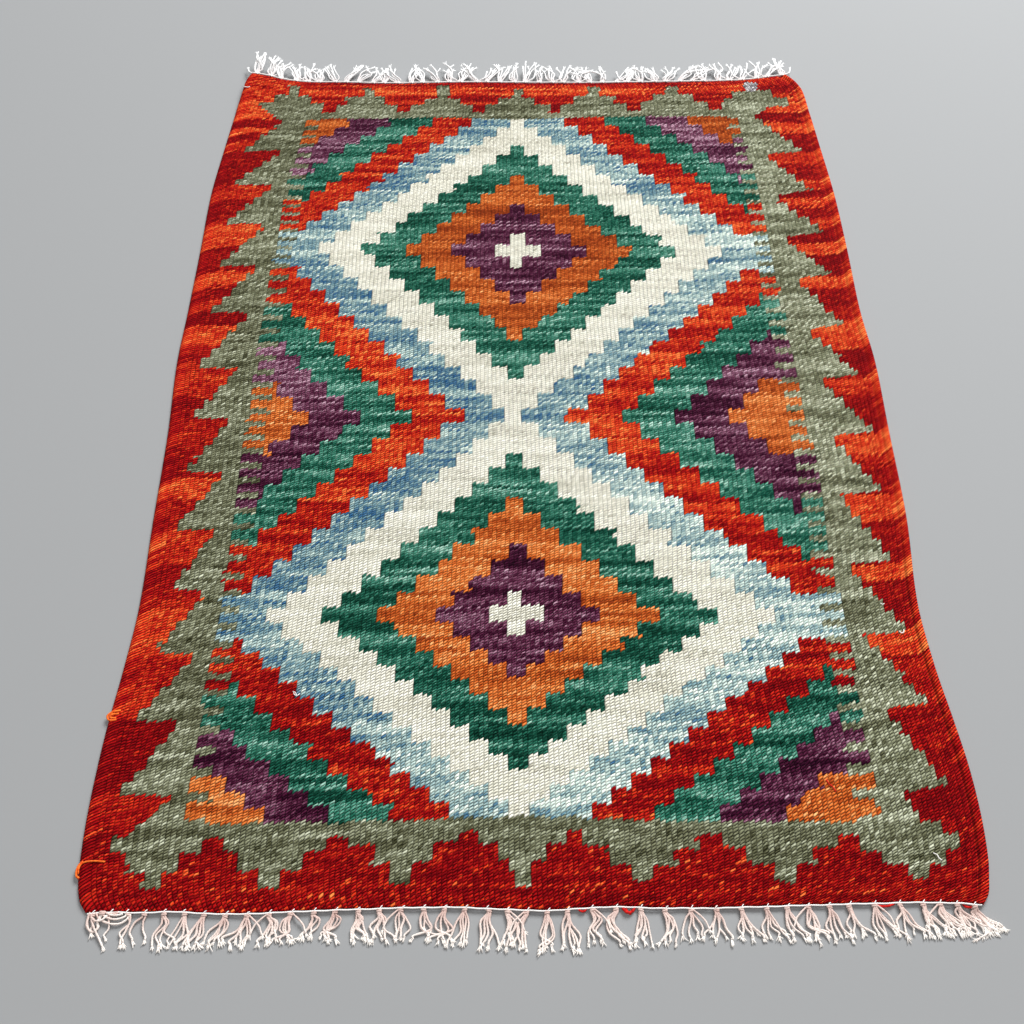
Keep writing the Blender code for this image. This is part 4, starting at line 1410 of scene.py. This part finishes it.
def loose_yarns(red, cotton):
    """The small loose ends that show: orange loops at the left selvedge, red wool under the near cord, a white end."""
    wool = Yarns()
    for path, radius in (
        (((-293.0, -292.4, 3.3), (-298.6, -293.6, 3.4), (-302.0, -296.6, 2.8), (-300.4, -299.4, 2.6), (-295.0, -299.6, 3.0)), 0.95),
        (((-294.0, -294.6, 3.0), (-299.4, -295.8, 3.1), (-300.2, -297.4, 2.7), (-295.4, -298.2, 2.8)), 1.0),
        (((-298.6, -401.0, 2.8), (-301.0, -403.4, 2.7), (-302.0, -407.0, 2.4), (-301.4, -410.6, 2.2), (-299.4, -412.0, 2.4)), 0.95),
        (((-284.0, -401.4, 3.4), (-292.0, -401.0, 3.7), (-298.4, -402.0, 3.4), (-300.6, -405.0, 3.2), (-300.4, -409.4, 2.8)), 0.62),
        (((26.0, -433.0, 1.5), (28.4, -435.4, 1.8), (30.6, -435.6, 1.7), (33.0, -433.0, 1.5)), 0.8),
        (((55.0, -432.6, 1.5), (58.0, -436.4, 2.0), (61.4, -436.2, 1.8), (64.0, -432.8, 1.5)), 1.0),
        (((57.0, -432.8, 1.4), (60.0, -437.4, 1.4), (62.0, -434.6, 1.4)), 0.8),
        (((218.0, -431.8, 1.6), (222.0, -433.6, 1.8), (228.0, -433.7, 1.8), (233.0, -431.8, 1.6)), 0.85),
        (((276.4, -432.0, 1.8), (278.2, -434.6, 2.2), (281.4, -434.8, 2.2), (283.6, -432.4, 1.9)), 1.0),
        (((201.0, -347.6, 3.2), (202.2, -350.6, 3.7), (204.4, -353.0, 3.8), (206.2, -356.4, 3.3)), 0.5),
    ):
        wool.tube(smooth_path(path, 16), radius, sides=6, pitch=3.0, shares=(0.0, 1.0))
    white = Yarns()
    for path, radius in (
        (((264.0, -399.4, 3.2), (266.2, -401.0, 3.9), (266.6, -402.8, 4.1), (268.6, -404.6, 3.8)), 0.36),
        (((273.6, -231.6, 3.3), (275.2, -233.6, 3.9), (276.8, -232.6, 3.9), (277.4, -230.6, 3.5)), 0.40),
        (((264.2, -207.6, 3.3), (265.4, -208.8, 3.7), (267.0, -208.0, 3.4)), 0.32),
        (((-289.2, 418.4, 8.0), (-287.2, 416.8, 8.6), (-284.8, 416.6, 8.4), (-283.2, 418.2, 7.8)), 0.42),
        (((-171.6, -279.0, 3.4), (-170.6, -281.2, 3.9), (-168.4, -281.6, 3.9), (-167.2, -280.0, 3.4)), 0.30),
        (((-172.2, -278.4, 3.5), (-170.2, -279.4, 4.0), (-169.0, -282.4, 3.6)), 0.26),
    ):
        white.tube(smooth_path(path, 14), radius, sides=5, shares=(0.5, 1.0))
    return wool.piece("loose_wool", red), white.piece("loose_cotton", cotton)


def loose_wool_material():
    n = Nodes("loose_wool")
    place = n.add("TexCoord").outputs["Object"]
    noise = n.add("TexNoise", {"Vector": place, "Scale": 500.0, "Detail": 3.0}).outputs["Fac"]
    where = n.add("SeparateXYZ", {0: place}).outputs[0]
    left = n.math("LESS_THAN", where, -0.2)
    red = n.ramp(noise, ((0.3, linear((150, 14, 20))), (0.7, linear((226, 48, 40)))))
    orange = n.ramp(noise, ((0.3, linear((206, 70, 22))), (0.7, linear((244, 128, 52)))))
    colour = n.mix(left, red, orange)
    bump = n.add("Bump", {"Height": noise, "Strength": 0.4, "Distance": 0.0004}).outputs[0]
    return n.to_shader(Base_Color=colour, Roughness=0.92, Specular_IOR_Level=0.08, Normal=bump)


# ---------------------------------------------------------------- putting it together

wool = wool_material()
cord_cotton = cotton_material("cotton_cord", (214, 206, 198), (234, 228, 222), (246, 242, 238))
# The near fringe's cotton is painted darker than the far one's: painted shade.
near_cotton = cotton_material("cotton_fringe_near", (196, 162, 152), (228, 208, 198), (250, 243, 235))
far_cotton = cotton_material("cotton_fringe_far", (214, 200, 196), (238, 234, 232), (250, 249, 247))

grid = woven_grid()
lengths = [woven_length(grid, k, wool) for k in range(LENGTHS)]
near_strands = near_fringe(near_cotton)
far_strands = far_fringe(far_cotton)
near_ticks = [float(np.interp(k, [r[0] for r in NEAR_ROOTS], [r[1] for r in NEAR_ROOTS])) for k in range(42)]
far_ticks = [end_line((k + 0.5) / 42 + 0.10 / 42 * math.sin(2.3 * k), 1.0)[0] for k in range(42)]
near_cord = end_cord("cord_near", 0.0, -1.0, near_ticks, 0.25, cord_cotton)
far_cord = end_cord("cord_far", 1.0, 1.0, far_ticks, 0.75, cord_cotton)
loose_red, loose_white = loose_yarns(loose_wool_material(), cord_cotton)

for piece in lengths:
    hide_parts("woven_body")
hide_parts("fringe_near")
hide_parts("fringe_far")
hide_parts("end_cord_near")
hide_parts("end_cord_far")
for piece in (*lengths, near_strands, far_strands, near_cord, far_cord, loose_red, loose_white):
    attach(piece, "root")

# ---------------------------------------------------------------- floor, light and camera


def floor():
    mesh = bpy.data.meshes.new("floor")
    mesh.from_pydata([(-6, -6, 0), (6, -6, 0), (6, 6, 0), (-6, 6, 0)], [], [(0, 1, 2, 3)])
    piece = bpy.data.objects.new("floor", mesh)
    bpy.context.scene.collection.objects.link(piece)
    n = Nodes("floor")
    mesh.materials.append(n.to_shader(Base_Color=(0.27, 0.27, 0.27, 1.0), Roughness=0.75, Specular_IOR_Level=0.2))


def lamp(name, place, target, size, watts, colour=(1.0, 1.0, 1.0)):
    data = bpy.data.lights.new(name, "AREA")
    data.shape, data.size, data.size_y = "RECTANGLE", size[0], size[1]
    data.energy, data.color = watts, colour
    light = bpy.data.objects.new(name, data)
    bpy.context.scene.collection.objects.link(light)
    light.location = place
    light.rotation_euler = (Vector(target) - Vector(place)).to_track_quat("-Z", "Y").to_euler()


def camera():
    """The photo's viewpoint: 0.79 m up, in front of the near end, looking down at 55 degrees."""
    pitch, yaw, roll = 0.9634946570002163, -0.014012976736230913, 0.006641354839525578
    ahead = Vector((0.0, math.cos(pitch), -math.sin(pitch)))
    over = Vector((0.0, math.sin(pitch), math.cos(pitch)))
    right = Vector((1.0, 0.0, 0.0))
    turn = Matrix.Rotation(yaw, 3, "Z")
    ahead, over, right = turn @ ahead, turn @ over, turn @ right
    side = math.cos(roll) * right + math.sin(roll) * over
    up = -math.sin(roll) * right + math.cos(roll) * over
    data = bpy.data.cameras.new("camera")
    data.sensor_width, data.lens = 36.0, 42.1875
    data.clip_start, data.clip_end = 0.01, 50.0
    eye = bpy.data.objects.new("camera", data)
    bpy.context.scene.collection.objects.link(eye)
    place = (np.array((-20.977, -665.863, 785.836)) - ORIGIN) * MM
    eye.matrix_world = Matrix(
        (
            (side.x, up.x, -ahead.x, place[0]),
            (side.y, up.y, -ahead.y, place[1]),
            (side.z, up.z, -ahead.z, place[2]),
            (0.0, 0.0, 0.0, 1.0),
        )
    )
    bpy.context.scene.camera = eye


floor()
camera()
lamp("window", (1.6, 3.1, 2.9), (0.0, -0.1, 0.0), (2.6, 2.0), 395.0, (0.96, 0.985, 1.0))
lamp("ceiling", (-0.2, -1.2, 2.6), (0.0, -0.2, 0.0), (2.4, 2.4), 34.0)
world = bpy.data.worlds.new("world")
world.use_nodes = True
world.node_tree.nodes["Background"].inputs["Color"].default_value = (0.95, 0.97, 1.0, 1.0)
world.node_tree.nodes["Background"].inputs["Strength"].default_value = 0.28
bpy.context.scene.world = world
bpy.context.scene.view_settings.view_transform = "Standard"
